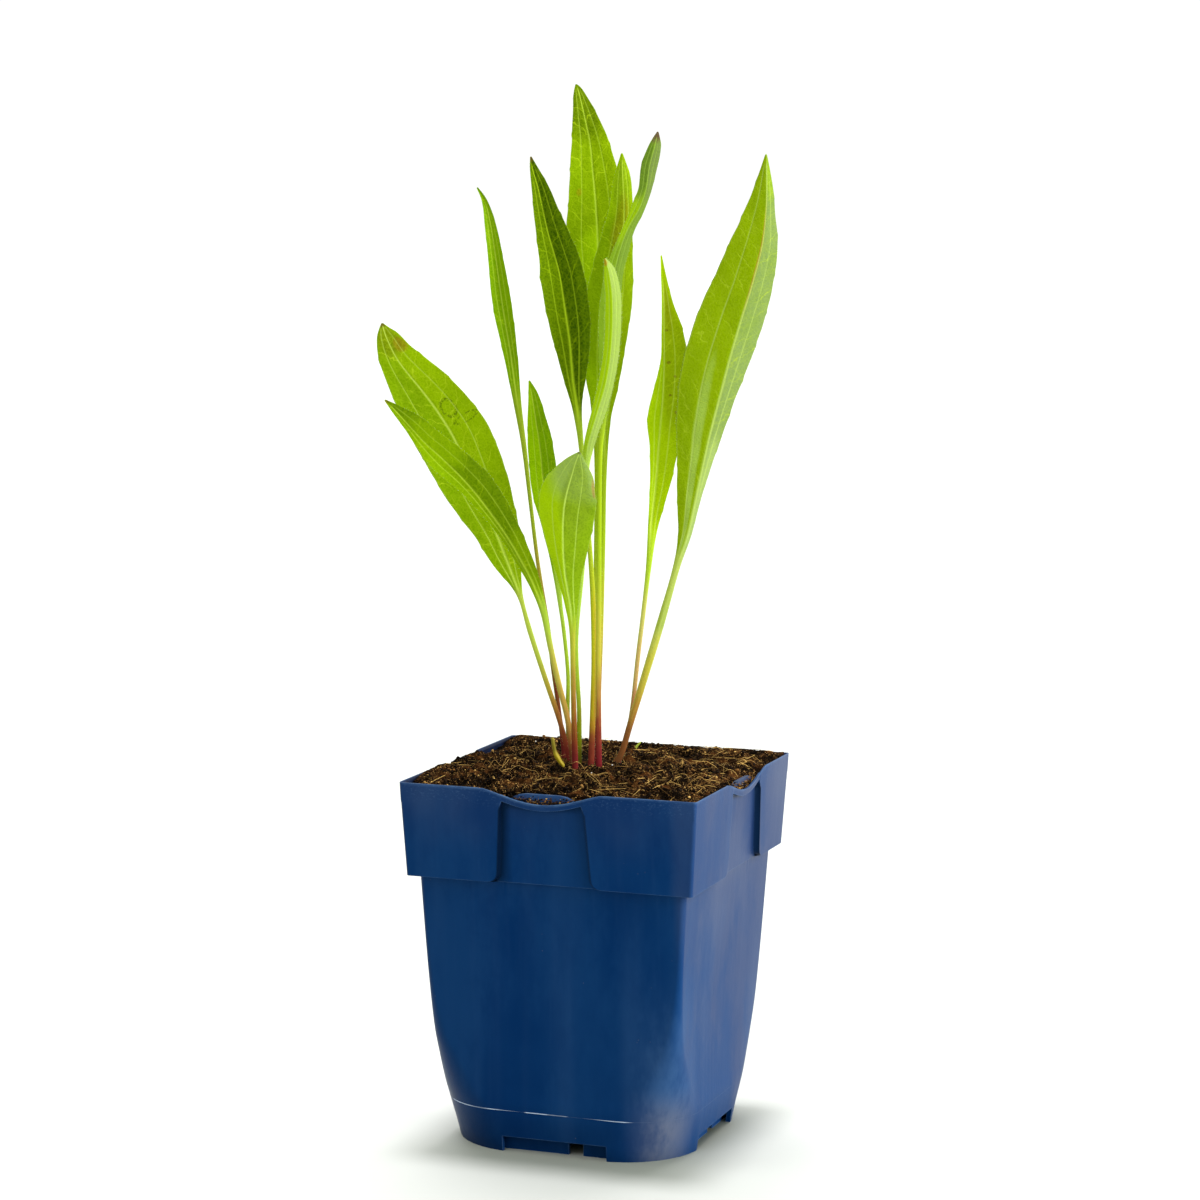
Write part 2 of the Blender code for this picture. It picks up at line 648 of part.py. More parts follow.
def leaf_section(station, tangent, fold):
    """The eight points round a leaf at one station, from a round stalk to a thin winged blade."""
    across, up, towards, left, right = station
    run = Vector((tangent[0], tangent[1])).normalized()
    width = (left + right) / 2
    flatness = min(max((width - ROUND_WIDTH) / (FLAT_WIDTH - ROUND_WIDTH), 0.0), 1.0)
    stem = min(width, WIDEST_STEM)
    middle = blend(stem, MIDRIB_HALF_THICKNESS, flatness)
    inner = blend(EIGHTH_TURN, 0.5, flatness)
    half = blend(EIGHTH_TURN * stem, BLADE_HALF_THICKNESS, flatness)

    def wing(reach, slope, lift):
        rise = slope * abs(reach) * flatness + lift
        return fan_to_world((across + run.y * reach, up - run.x * reach, towards + rise))

    return [
        wing(-left, fold[0], 0.0),
        wing(-left * inner, fold[0], half),
        wing(0.0, 0.0, middle),
        wing(right * inner, fold[1], half),
        wing(right, fold[1], 0.0),
        wing(right * inner, fold[1], -half),
        wing(0.0, 0.0, -middle),
        wing(-left * inner, fold[0], -half),
    ]


def make_leaf(leaf, collection, material):
    """One leaf as a single lofted body that ends in a point."""
    stations = [(x, z, d, radius, radius) for x, z, d, radius in leaf.stalk] + list(leaf.blade)
    stations.append((*leaf.tip, TIP_WIDTH, TIP_WIDTH))
    steps = [STALK_STEPS] * (len(leaf.stalk) - 1) + [BLADE_STEPS] * len(leaf.blade) + [1]
    curve = smooth_through(stations, steps)
    rings = []
    for index, station in enumerate(curve[:-1]):
        before = curve[max(index - 1, 0)]
        after = curve[index + 1]
        tangent = [b - a for a, b in zip(before, after)]
        rings.append(leaf_section(station, tangent, leaf.fold))
    bm = bmesh.new()
    rows = loft(bm, rings, close_last=False)
    point = bm.verts.new(fan_to_world(leaf.tip))
    last = rows[-1]
    for index, vert in enumerate(last):
        bm.faces.new((vert, last[(index + 1) % len(last)], point))
    return finish_object(leaf.name, bm, collection, material)


def make_short_stalk(name, points, collection, material):
    """A short bare stalk: a curve with a round bevel that thins towards its end."""
    curve = bpy.data.curves.new(name, "CURVE")
    curve.dimensions = "3D"
    curve.bevel_depth = MM
    curve.bevel_resolution = 2
    curve.use_fill_caps = True
    spline = curve.splines.new("POLY")
    spline.points.add(len(points) - 1)
    for target, (across, up, towards, radius) in zip(spline.points, points):
        target.co = (*(fan_to_world((across, up, towards)) * MM), 1.0)
        target.radius = radius
    spline.use_smooth = True
    curve.materials.append(material)
    stalk = bpy.data.objects.new(name, curve)
    collection.objects.link(stalk)
    return stalk


def main():
    clear_scene()
    collection = make_collection("potted_coneflower")
    cutters = make_collection("cutters")
    make_pot(collection, cutters)
    make_soil(collection, cutters)
    for leaf in LEAVES:
        material = make_material(leaf.name + "_green", (0.12, 0.30, 0.012), 0.5)
        make_leaf(leaf, collection, material)
    yellow = make_material("old_stalk_yellow", (0.35, 0.30, 0.02), 0.55)
    make_short_stalk("old_leaf_stalk", OLD_STALK, collection, yellow)
    fresh = make_material("sprout_green", (0.20, 0.38, 0.03), 0.5)
    make_short_stalk("young_sprout", SPROUT, collection, fresh)


main()
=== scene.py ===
"""Dressed model of a potted coneflower: leaves, soil and nursery pot round the fixed frame.

Sizes are in millimetres unless a name says otherwise, and MM turns them into metres.
"""

import json
import logging
import math
import random
from collections.abc import Callable, Sequence
from dataclasses import dataclass, field
from enum import Enum
from functools import reduce

import bpy
import numpy as np
from mathutils import Matrix, Vector, noise

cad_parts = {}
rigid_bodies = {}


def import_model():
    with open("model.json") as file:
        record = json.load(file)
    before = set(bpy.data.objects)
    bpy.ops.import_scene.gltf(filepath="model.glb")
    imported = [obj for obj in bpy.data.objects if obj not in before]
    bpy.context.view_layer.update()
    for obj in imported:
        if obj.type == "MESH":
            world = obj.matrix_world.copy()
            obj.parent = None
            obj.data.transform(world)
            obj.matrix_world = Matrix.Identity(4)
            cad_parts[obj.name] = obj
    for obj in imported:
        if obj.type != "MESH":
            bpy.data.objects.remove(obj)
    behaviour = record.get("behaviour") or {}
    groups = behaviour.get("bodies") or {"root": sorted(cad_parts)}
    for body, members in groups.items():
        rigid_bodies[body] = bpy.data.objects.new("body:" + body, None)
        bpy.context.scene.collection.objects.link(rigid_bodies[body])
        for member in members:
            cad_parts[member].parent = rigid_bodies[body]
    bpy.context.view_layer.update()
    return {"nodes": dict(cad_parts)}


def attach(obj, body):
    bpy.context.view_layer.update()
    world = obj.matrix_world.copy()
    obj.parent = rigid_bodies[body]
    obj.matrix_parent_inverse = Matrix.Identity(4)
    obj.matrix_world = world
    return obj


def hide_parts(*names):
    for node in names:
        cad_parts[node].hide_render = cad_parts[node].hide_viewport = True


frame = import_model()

MM = 0.001
FAN_TURN = math.radians(19.8)

Tone = Place = tuple[float, float, float]
Socket = bpy.types.NodeSocket
Number = float | Socket
Piece = bpy.types.Object

log = logging.getLogger("coneflower")


# ---- small helpers


def clear_selection() -> None:
    """Deselect every object, the frame's own nodes among them."""
    bpy.ops.object.select_all(action="DESELECT")


def pick(thing: Piece) -> None:
    """Make one object the only selected one, and the active one.

    Args:
        thing: The object that the next operators act on.
    """
    clear_selection()
    thing.select_set(True)
    bpy.context.view_layer.objects.active = thing


def apply_modifier(thing: Piece, kind: str, **settings: object) -> None:
    """Add a modifier with its settings and apply it at once.

    Args:
        thing: The object that gets the modifier.
        kind: The modifier's type, such as "BEVEL".
        settings: Values for the modifier's own properties.
    """
    pick(thing)
    modifier = thing.modifiers.new(kind.title(), kind)
    for key, value in settings.items():
        setattr(modifier, key, value)
    bpy.ops.object.modifier_apply(modifier=modifier.name)


def smooth_by_angle(thing: Piece, degrees: float) -> None:
    """Shade an object smooth, but for edges sharper than an angle in degrees."""
    pick(thing)
    bpy.ops.object.shade_smooth_by_angle(angle=math.radians(degrees))


def weld(thing: Piece) -> None:
    """Merge an object's doubled vertices and turn its faces outwards.

    Args:
        thing: The object to merge.
    """
    pick(thing)
    bpy.ops.object.mode_set(mode="EDIT")
    bpy.ops.mesh.select_all(action="SELECT")
    bpy.ops.mesh.remove_doubles(threshold=0.000002)
    bpy.ops.mesh.normals_make_consistent(inside=False)
    bpy.ops.object.mode_set(mode="OBJECT")


def sheet_from_grid(name: str, points: np.ndarray) -> Piece:
    """Add a grid and lay its rows on a loft's rings.

    Args:
        name: The new object's name.
        points: Rows by columns by 3, in metres.

    Returns:
        The grid object, whose doubled points aren't merged yet.
    """
    rows, columns = points.shape[:2]
    clear_selection()
    bpy.ops.mesh.primitive_grid_add(x_subdivisions=columns - 1, y_subdivisions=rows - 1, size=2.0)
    thing = bpy.context.active_object
    thing.name = thing.data.name = name
    thing.data.vertices.foreach_set("co", points.ravel())
    thing.data.update()
    return thing


def store_map(thing: Piece, name: str, values: np.ndarray) -> None:
    """Keep two numbers a vertex as a named UV map, before the grid is merged.

    Args:
        thing: A fresh object of sheet_from_grid.
        name: The map's name.
        values: Rows by columns by 2.
    """
    mesh = thing.data
    corner = np.empty(len(mesh.loops), dtype=np.int32)
    mesh.loops.foreach_get("vertex_index", corner)
    layer = mesh.uv_layers.get(name) or mesh.uv_layers.new(name=name, do_init=False)
    layer.uv.foreach_set("vector", values.reshape(-1, 2)[corner].astype(np.float32).ravel())


def store_values(thing: Piece, name: str, values: np.ndarray) -> None:
    """Keep one number a vertex, in the vertices' order, as a named attribute."""
    layer = thing.data.attributes.new(name, "FLOAT", "POINT")
    layer.data.foreach_set("value", values.reshape(-1).astype(np.float32))


def finish_piece(thing: Piece, material: bpy.types.Material, slot: str, *stands_for: str) -> None:
    """Give a finished piece its material and its body, and hide the frame's nodes that it stands for.

    Args:
        thing: The finished piece.
        material: Its only material.
        slot: The record's material slot it takes its finish from; not used.
        stands_for: The frame's nodes that it replaces.
    """
    thing.data.materials.clear()
    thing.data.materials.append(material)
    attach(thing, "root")
    if stands_for:
        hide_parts(*stands_for)
    log.info("%s: %d faces", thing.name, len(thing.data.polygons))


class Scatter:
    """Many small copies, gathered into one mesh with a tone for each."""

    def __init__(self) -> None:
        """Start with no copies."""
        self.points, self.faces, self.tones, self.total = [], [], [], 0

    def add(self, points: np.ndarray, faces: np.ndarray, tone: float | np.ndarray = 0.0) -> None:
        """Add one copy, or several that were worked out together.

        Args:
            points: Vertex places in metres.
            faces: Vertex numbers, one row a face.
            tone: One number from 0 to 1 for them all, or one a vertex.
        """
        self.points.append(points)
        self.faces.append(faces + self.total)
        self.tones.append(np.full(len(points), tone))
        self.total += len(points)

    def build(self, name: str) -> Piece:
        """Make the mesh, which keeps the tones as the attribute "tone".

        Args:
            name: The new object's name.

        Returns:
            The new object, shaded smooth.
        """
        mesh = bpy.data.meshes.new(name)
        mesh.from_pydata(np.concatenate(self.points).tolist(), [], np.concatenate(self.faces).tolist())
        thing = bpy.data.objects.new(name, mesh)
        bpy.context.scene.collection.objects.link(thing)
        store_values(thing, "tone", np.concatenate(self.tones))
        mesh.shade_smooth()
        return thing


def share_of(value: float, low: float, high: float) -> float:
    """How far a value is on its way from low to high, held from 0 to 1."""
    return min(max((value - low) / (high - low), 0.0), 1.0)


def held(values: np.ndarray) -> np.ndarray:
    """Values held from 0 to 1."""
    return np.clip(values, 0.0, 1.0)


def unit(ways: np.ndarray) -> np.ndarray:
    """Directions, one along the last axis, at a length of 1."""
    return ways / np.maximum(np.linalg.norm(ways, axis=-1, keepdims=True), 1e-9)


def smooth_through(rows: Sequence[Sequence[float]], steps: Sequence[int]) -> np.ndarray:
    """A Catmull-Rom curve through rows of numbers.

    Args:
        rows: The rows that the curve passes through.
        steps: How many steps each span between two rows gets.

    Returns:
        All the curve's rows, the last one included.
    """
    table = np.array(rows, dtype=float)
    last = len(table) - 1
    result = []
    for index in range(last):
        before, start = table[max(index - 1, 0)], table[index]
        end, after = table[index + 1], table[min(index + 2, last)]
        for step in range(steps[index]):
            t = step / steps[index]
            result.append(
                before * (-t + 2 * t * t - t**3) / 2
                + start * (2 - 5 * t * t + 3 * t**3) / 2
                + end * (t + 4 * t * t - 3 * t**3) / 2
                + after * (t**3 - t * t) / 2
            )
    result.append(table[-1])
    return np.array(result)


def fan_to_world(across: np.ndarray, up: np.ndarray, towards: np.ndarray) -> np.ndarray:
    """Places in the leaves' fan, in millimetres, as places of the object in metres.

    Args:
        across: Distance to the fan's right.
        up: Height above the pot's base.
        towards: Distance out of the fan, to its front.

    Returns:
        The places, with x, y and z along the last axis.
    """
    x = across * math.cos(FAN_TURN) + towards * math.sin(FAN_TURN)
    y = across * math.sin(FAN_TURN) - towards * math.cos(FAN_TURN)
    return np.stack(np.broadcast_arrays(x, y, up), axis=-1) * MM


# ---- materials


class Graph:
    """A material's node tree, with short ways to add nodes and join them."""

    def __init__(self, name: str) -> None:
        """Start a material with its Principled shader.

        Args:
            name: The material's name.
        """
        self.material = bpy.data.materials.new(name)
        self.material.use_nodes = True
        self.tree = self.material.node_tree
        self.shader = self.tree.nodes["Principled BSDF"]

    def node(self, kind: str, *values: object, **settings: object) -> bpy.types.Node:
        """Add a node.

        Args:
            kind: The node's type after "ShaderNode".
            values: What its inputs get, in their order.
            settings: Values for the node's own properties.

        Returns:
            The new node.
        """
        node = self.tree.nodes.new("ShaderNode" + kind)
        for key, value in settings.items():
            setattr(node, key, value)
        for value, socket in zip(values, node.inputs):
            self.put(value, socket)
        return node

    def put(self, value: object, socket: Socket) -> None:
        """Join a socket to an input, or set the input to a plain value.

        Args:
            value: An output socket, a number, or a colour or vector.
            socket: The input.
        """
        if isinstance(value, Socket):
            self.tree.links.new(value, socket)
        elif socket.type == "RGBA":
            socket.default_value = (*value, 1.0) if len(value) == 3 else value
        else:
            socket.default_value = value

    def set(self, **inputs: object) -> None:
        """Set or join the shader's inputs, named with _ for each space."""
        for key, value in inputs.items():
            self.put(value, self.shader.inputs[key.replace("_", " ")])

    def calc(self, operation: str, *values: Number) -> Socket:
        """One step of arithmetic by the Math node's operation."""
        return self.node("Math", *values, operation=operation).outputs[0]

    def times(self, *factors: Number) -> Number:
        """The product of some values."""
        return reduce(lambda product, factor: self.calc("MULTIPLY", product, factor), factors)

    def plus(self, *terms: Number) -> Number:
        """The sum of some values."""
        return reduce(lambda total, term: self.calc("ADD", total, term), terms)

    def span(self, value: Number, low: float, high: float, start: float = 0.0, end: float = 1.0) -> Socket:
        """A smooth step from start to end as a value goes from low to high."""
        step = self.node("MapRange", value, low, high, start, end, interpolation_type="SMOOTHSTEP")
        return step.outputs[0]

    def ramp(self, value: Number, stops: Sequence[tuple[float, Tone]]) -> Socket:
        """A colour that changes smoothly through stops.

        Args:
            value: The value that is read.
            stops: Values and their colours, from the lowest up.

        Returns:
            The colour's socket.
        """
        low, high = stops[0][0], stops[-1][0]
        node = self.node("ValToRGB", self.node("MapRange", value, low, high).outputs[0])
        node.color_ramp.interpolation = "EASE"
        bands = node.color_ramp.elements
        while len(bands) < len(stops):
            bands.new(0.5)
        for band, (place, tone) in zip(bands, stops):
            band.position = (place - low) / (high - low)
            band.color = (*tone, 1.0)
        return node.outputs[0]

    def over(self, under: object, paint: object, *shares: Number) -> Socket:
        """Lay one colour over another.

        Args:
            under: The colour below, or its socket.
            paint: The colour on top, or its socket.
            shares: Factors of how much of the top one there is.

        Returns:
            The mixed colour's socket.
        """
        node = self.node("Mix", self.times(*shares), data_type="RGBA")
        self.put(under, node.inputs[6])
        self.put(paint, node.inputs[7])
        return node.outputs[2]

    def layers(self, base: object, *coats: Sequence[object]) -> Socket:
        """Lay coats, each a colour and its shares, one after the other over a base colour."""
        return reduce(lambda under, coat: self.over(under, *coat), coats, base)

    def place(self, uv: str = "") -> Socket:
        """Object coordinates, or those of the UV map that is named."""
        return self.node("UVMap", uv_map=uv).outputs[0] if uv else self.node("TexCoord").outputs["Object"]

    def stretch(self, place: Socket, scale: Place, turn: float = 0.0) -> Socket:
        """Coordinates that are scaled along each axis and turned about Z, in degrees."""
        return self.node("Mapping", place, (0.0, 0.0, 0.0), (0.0, 0.0, math.radians(turn)), scale).outputs[0]

    def noise(self, place: Socket, scale: float, detail: float = 3.0, rough: float = 0.55) -> Socket:
        """Cloudy noise from 0 to 1, by its clouds to a unit and its finer layers' number and strength."""
        return self.node("TexNoise", place, 0.0, scale, detail, rough).outputs["Fac"]

    def drawn(self, place: Socket, scale: Place, detail: float = 3.0, rough: float = 0.55,
              turn: float = 0.0) -> Socket:
        """Cloudy noise with its own scale along each axis."""
        return self.noise(self.stretch(place, scale, turn), 1.0, detail, rough)

    def cells(self, place: Socket, scale: float, feature: str = "F1") -> Socket:
        """The distance field of scattered cells, by cells to a unit and the Voronoi feature."""
        return self.node("TexVoronoi", place, 0.0, scale, feature=feature).outputs["Distance"]

    def value(self, name: str) -> Number:
        """The number that the mesh keeps under a name."""
        return self.node("Attribute", attribute_name=name).outputs["Fac"]

    def axis(self, place: Socket, which: str) -> Number:
        """One axis, X, Y or Z, of some coordinates."""
        return self.node("SeparateXYZ", place).outputs[which]

    def bump(self, height: Number, depth: float, strength: float = 1.0) -> None:
        """Roughen the shader's surface.

        Args:
            height: The height's socket.
            depth: How deep a height of 1 is, in metres.
            strength: How strongly the surface is bent.
        """
        node = self.node("Bump", strength, depth)
        self.put(height, node.inputs["Height"])
        self.put(node.outputs[0], self.shader.inputs["Normal"])


@dataclass(frozen=True)
class PotPlastic:
    """Satin navy plastic with faint upright streaks, cloudy wear, dusty specks, paler worn edges, and
    painted light and shade.
    """

    body: Tone = (0.0004, 0.015, 0.069)
    cloud: Tone = (0.0035, 0.0275, 0.094)
    darkened: Tone = (0.004, 0.006, 0.017)
    shade: Tone = (0.0006, 0.0035, 0.013)
    worn: Tone = (0.08, 0.155, 0.28)
    dust_and_painted_light: Tone = (0.2, 0.17, 0.13)
    sheen: Tone = (0.06, 0.4, 0.95)
    roughness: float = 0.34

    def make(self) -> bpy.types.Material:
        """Build the material.

        Returns:
            The new material.
        """
        graph = Graph("navy_pot_plastic")
        place, span = graph.place(), graph.span
        right, back, height = (graph.axis(place, which) for which in "XYZ")
        clouds = span(graph.drawn(place, (34.0, 34.0, 15.0), 5.0, 0.68), 0.42, 0.66)
        broad = span(graph.drawn(place, (17.0, 17.0, 12.0), 3.0, 0.6), 0.38, 0.64)
        streaks = graph.drawn(place, (330.0, 330.0, 7.0), 3.0, 0.6)
        bands = graph.drawn(place, (85.0, 85.0, 4.0), 2.0, 0.5)
        stripes = graph.plus(span(streaks, 0.5, 0.78, 0.0, 0.5), span(bands, 0.45, 0.7))
        corner = graph.times(span(right, 0.024, 0.042), span(graph.calc("ABSOLUTE", back), 0.022, 0.042))
        chipped = span(graph.noise(place, 160.0, 4.0), 0.3, 0.6, 0.25)
        scuffs = span(graph.drawn(place, (900.0, 900.0, 1500.0), 5.0, 0.7, 20.0), 0.52, 0.66)
        specks = span(graph.cells(place, 380.0), 0.12, 0.06)
        grime_and_shade = span(graph.noise(place, 240.0, 4.0), 0.25, 0.55, 0.55, 1.0)
        tone = graph.layers(
            self.body, (self.cloud, clouds, 0.65), (self.cloud, broad, 0.45), (self.worn, stripes, 0.03),
            # These two coats are a painted reflection: paler low on the foot's near rounded corner, where
            # the light catches it.
            (self.worn, corner, span(height, 0.08, 0.014), span(clouds, 0.0, 1.0, 0.08, 0.24)),
            (self.dust_and_painted_light, corner, span(height, 0.03, 0.008), span(clouds, 0.0, 1.0, 0.14, 0.36)),
            # Painted light: the upper right side is made paler where the lamp at the right falls on it.
            (self.dust_and_painted_light, span(right, 0.044, 0.049), span(height, 0.06, 0.1),
             span(broad, 0.0, 1.0, 0.03, 0.07)),
            (self.dust_and_painted_light, span(height, 0.104, 0.128), span(broad, 0.0, 1.0, 0.3), 0.045),
            (self.worn, span(self._edges(graph), 0.985, 0.84), chipped, 0.45),
            (self.worn, graph.value("rim"), chipped, 0.42),
            (self.worn, scuffs, span(height, 0.1232, 0.1312), 0.15),
            (self.dust_and_painted_light, specks, span(graph.noise(place, 60.0), 0.6, 0.68), 0.28),
            # groove is painted shade on the recesses' step walls and under the lip; inside darkens the inner
            # walls, pockets and a tab, partly dirt and partly painted shade.
            (self.shade, graph.value("groove"), 0.96), (self.darkened, graph.value("inside"), grime_and_shade),
        )
        graph.set(Base_Color=tone, Specular_IOR_Level=0.13, Specular_Tint=self.sheen)
        gloss = graph.plus(self.roughness, graph.times(clouds, 0.12), graph.times(streaks, 0.08))
        graph.set(Roughness=gloss)
        fine = graph.times(graph.noise(place, 1100.0, 2.0), 0.4)
        graph.bump(graph.plus(graph.times(bands, 0.8), graph.times(streaks, 0.35), fine), 0.0001, 0.7)
        return graph.material

    @staticmethod
    def _edges(graph: Graph) -> Socket:
        """How far the surface faces as it would with rounded edges: 1, and less on an edge.

        Args:
            graph: The material's graph.

        Returns:
            The likeness's socket.
        """
        rounded = graph.node("Bevel", 0.0006, samples=8).outputs[0]
        facing = graph.node("NewGeometry").outputs["Normal"]
        return graph.node("VectorMath", rounded, facing, operation="DOT_PRODUCT").outputs["Value"]


def damp(graph: Graph, place: Socket) -> Number:
    """How wet, and so how dark, the soil is: patches a centimetre or so across."""
    return graph.span(graph.noise(place, 95.0, 3.0, 0.6), 0.52, 0.41, 0.0, 0.86)


@dataclass(frozen=True)
class Earth:
    """Damp peat, near black where its noise is low and brown on its lumps, with short pale threads, and
    painted shade in its hollows and round the crown.
    """

    hollow: Tone = (0.0012, 0.0007, 0.0004)
    lump: Tone = (0.032, 0.0145, 0.005)
    thread: Tone = (0.22, 0.108, 0.031)
    grain: Tone = (0.44, 0.245, 0.078)
    rust: Tone = (0.08, 0.029, 0.0068)

    def make(self) -> bpy.types.Material:
        """Build the material.

        Returns:
            The new material.
        """
        graph = Graph("fibrous_peat")
        place = graph.place()
        coarse = graph.noise(place, 260.0, 5.0, 0.65)
        fine = graph.noise(place, 1500.0, 4.0, 0.7)
        wander = graph.node("TexNoise", place, 0.0, 140.0).outputs["Color"]
        bent = graph.node("VectorMath", wander, (0.012,) * 3, place, operation="MULTIPLY_ADD").outputs[0]
        threads = graph.cells(graph.stretch(bent, (1.0, 0.25, 1.0), 35.0), 900.0, "DISTANCE_TO_EDGE")
        threads = graph.times(graph.span(threads, 0.07, 0.02), graph.span(fine, 0.5, 0.62))
        tone = graph.layers(
            self.hollow, (self.lump, graph.span(coarse, 0.45, 0.7)), (self.thread, threads, 0.55),
            (self.grain, graph.span(fine, 0.575, 0.65, 0.0, 0.85)),
            (self.rust, graph.span(graph.noise(place, 110.0, 2.0), 0.5, 0.66, 0.0, 0.65)),
            # The last coat, by deep, is painted shade in the hollows and round the crown.
            (self.hollow, damp(graph, place)), (self.hollow, graph.value("deep"), 0.9),
        )
        graph.set(Base_Color=tone, Roughness=0.95, Specular_IOR_Level=0.015)
        graph.bump(graph.plus(coarse, graph.times(fine, 0.5)), 0.0012, 0.9)
        return graph.material


@dataclass(frozen=True)
class Coir:
    """Dry coconut fibre and crumbs, from dark brown to straw by each one's own tone."""

    dark: Tone = (0.005, 0.0025, 0.0011)
    middle: Tone = (0.215, 0.094, 0.0215)
    straw: Tone = (0.92, 0.58, 0.165)

    def make(self) -> bpy.types.Material:
        """Build the material.

        Returns:
            The new material.
        """
        graph = Graph("coir_fibre")
        place = graph.place()
        tone = graph.ramp(graph.value("tone"), ((0.0, self.dark), (0.5, self.middle), (1.0, self.straw)))
        mottle = graph.span(graph.noise(place, 1300.0, 2.0), 0.35, 0.7, 0.45, 0.0)
        tone = graph.layers(tone, (self.dark, mottle), (self.dark, damp(graph, place), 0.8))
        graph.set(Base_Color=tone, Roughness=0.7, Specular_IOR_Level=0.06)
        return graph.material


@dataclass(frozen=True)
class Grit:
    """White mineral grains."""

    tone: Tone = (0.62, 0.6, 0.55)
    darkened: Tone = (0.35, 0.31, 0.25)

    def make(self) -> bpy.types.Material:
        """Build the material.

        Returns:
            The new material.
        """
        graph = Graph("white_grit")
        grain = graph.noise(graph.place(), 2200.0, 3.0)
        graph.set(Base_Color=graph.over(self.tone, self.darkened, grain), Roughness=0.6)
        graph.bump(grain, 0.0002)
        return graph.material


@dataclass(frozen=True)
class Blotch:
    """A patch of another colour on a leaf, round a point of its skin; a ring is a worn outline."""

    across: float
    along: float
    half_width: float
    half_length: float
    tone: Tone
    strength: float = 0.8
    ring: bool = False


class Stem(Enum):
    """A stalk's colours by height in millimetres, from the soil up."""

    RUDDY = ((136.0, (0.17, 0.022, 0.017)), (145.0, (0.22, 0.045, 0.02)), (152.0, (0.34, 0.16, 0.03)),
             (160.0, (0.42, 0.33, 0.04)), (176.0, (0.4, 0.5, 0.06)))
    OCHRE = ((134.0, (0.15, 0.05, 0.02)), (142.0, (0.28, 0.11, 0.03)), (153.0, (0.42, 0.25, 0.05)),
             (168.0, (0.43, 0.36, 0.06)), (186.0, (0.34, 0.48, 0.05)))
    GREEN = ((133.0, (0.12, 0.11, 0.01)), (145.0, (0.26, 0.33, 0.012)), (165.0, (0.34, 0.5, 0.03)),
             (200.0, (0.36, 0.54, 0.06)))
    YELLOW = ((134.0, (0.17, 0.016, 0.018)), (140.0, (0.22, 0.045, 0.021)), (146.0, (0.41, 0.23, 0.02)),
              (151.0, (0.43, 0.33, 0.015)), (180.0, (0.45, 0.44, 0.012)), (226.0, (0.34, 0.48, 0.03)))
    CRIMSON = ((138.0, (0.17, 0.014, 0.02)), (147.0, (0.23, 0.038, 0.023)), (154.0, (0.29, 0.09, 0.032)),
               (162.0, (0.4, 0.24, 0.045)), (175.0, (0.45, 0.4, 0.045)), (215.0, (0.33, 0.47, 0.012)))
    DARK_RED = ((140.0, (0.14, 0.018, 0.016)), (160.0, (0.16, 0.03, 0.018)), (174.0, (0.21, 0.09, 0.03)),
                (200.0, (0.34, 0.26, 0.035)), (222.0, (0.31, 0.4, 0.025)))
    PINK = ((136.0, (0.16, 0.018, 0.018)), (145.0, (0.21, 0.045, 0.025)), (154.0, (0.36, 0.16, 0.06)),
            (166.0, (0.46, 0.29, 0.11)), (182.0, (0.47, 0.42, 0.11)), (205.0, (0.36, 0.52, 0.03)))
    RUST = ((136.0, (0.16, 0.018, 0.018)), (145.0, (0.21, 0.045, 0.015)), (156.0, (0.31, 0.12, 0.02)),
            (166.0, (0.36, 0.22, 0.035)), (178.0, (0.4, 0.4, 0.035)), (196.0, (0.33, 0.5, 0.02)))
    OLIVE = ((134.0, (0.12, 0.05, 0.018)), (145.0, (0.2, 0.07, 0.02)), (154.0, (0.36, 0.2, 0.03)),
             (168.0, (0.42, 0.38, 0.04)), (190.0, (0.4, 0.48, 0.09)))


class LeafGraph(Graph):
    """A leaf's node tree, with its coordinates and the patterns that lie on them."""

    def __init__(self, name: str) -> None:
        """Start the material and its coordinates.

        Args:
            name: The material's name.
        """
        super().__init__(name)
        self.here, self.size = self.place(), self.place("size")
        self.across, self.along = (self.axis(self.place("skin"), which) for which in "XY")
        self.cloud = self.noise(self.here, 75.0, 4.0, 0.6)

    def net(self) -> Number:
        """Curved side veins that leave the midrib, and faint meshes between them.

        Returns:
            The net's strength.
        """
        across = self.axis(self.size, "X")
        out = self.times(self.calc("ABSOLUTE", across), -1.35)
        beat = self.calc("MULTIPLY_ADD", self.axis(self.size, "Y"), 1.35, out)
        bend = self.times(self.noise(self.size, 1.9, 2.0, 0.5), 1.25)
        beat = self.plus(beat, bend, self.times(self.calc("SIGN", across), 0.21))
        fade = self.span(self.noise(self.size, 1.1, 2.0), 0.36, 0.62, 0.15, 1.0)
        branches = self.span(self.calc("PINGPONG", beat, 0.5), 0.05, 0.004)
        meshes = self.cells(self.stretch(self.size, (3.4, 2.3, 1.0), 24.0), 1.0, "DISTANCE_TO_EDGE")
        return self.times(self.calc("MAXIMUM", branches, self.span(meshes, 0.055, 0.004, 0.0, 0.36)), fade)

    def blot(self, tone: object, blotch: Blotch) -> Socket:
        """Lay one blotch over a colour.

        Args:
            tone: The colour under it.
            blotch: The blotch.

        Returns:
            The new colour's socket.
        """
        sideways = self.calc("DIVIDE", self.calc("SUBTRACT", self.across, blotch.across), blotch.half_width)
        lengthways = self.calc("DIVIDE", self.calc("SUBTRACT", self.along, blotch.along), blotch.half_length)
        squares = (self.calc("POWER", away, 2.0) for away in (sideways, lengthways))
        reach = self.plus(*squares, self.cloud, -0.5)
        if not blotch.ring:
            return self.over(tone, blotch.tone, self.span(reach, 1.2, 0.3, 0.0, blotch.strength))
        outline = self.calc("ABSOLUTE", self.calc("SUBTRACT", reach, 1.0))
        dashes = self.span(self.noise(self.size, 13.0), 0.44, 0.52)
        return self.over(tone, blotch.tone, self.span(outline, 0.5, 0.18, 0.0, blotch.strength), dashes)


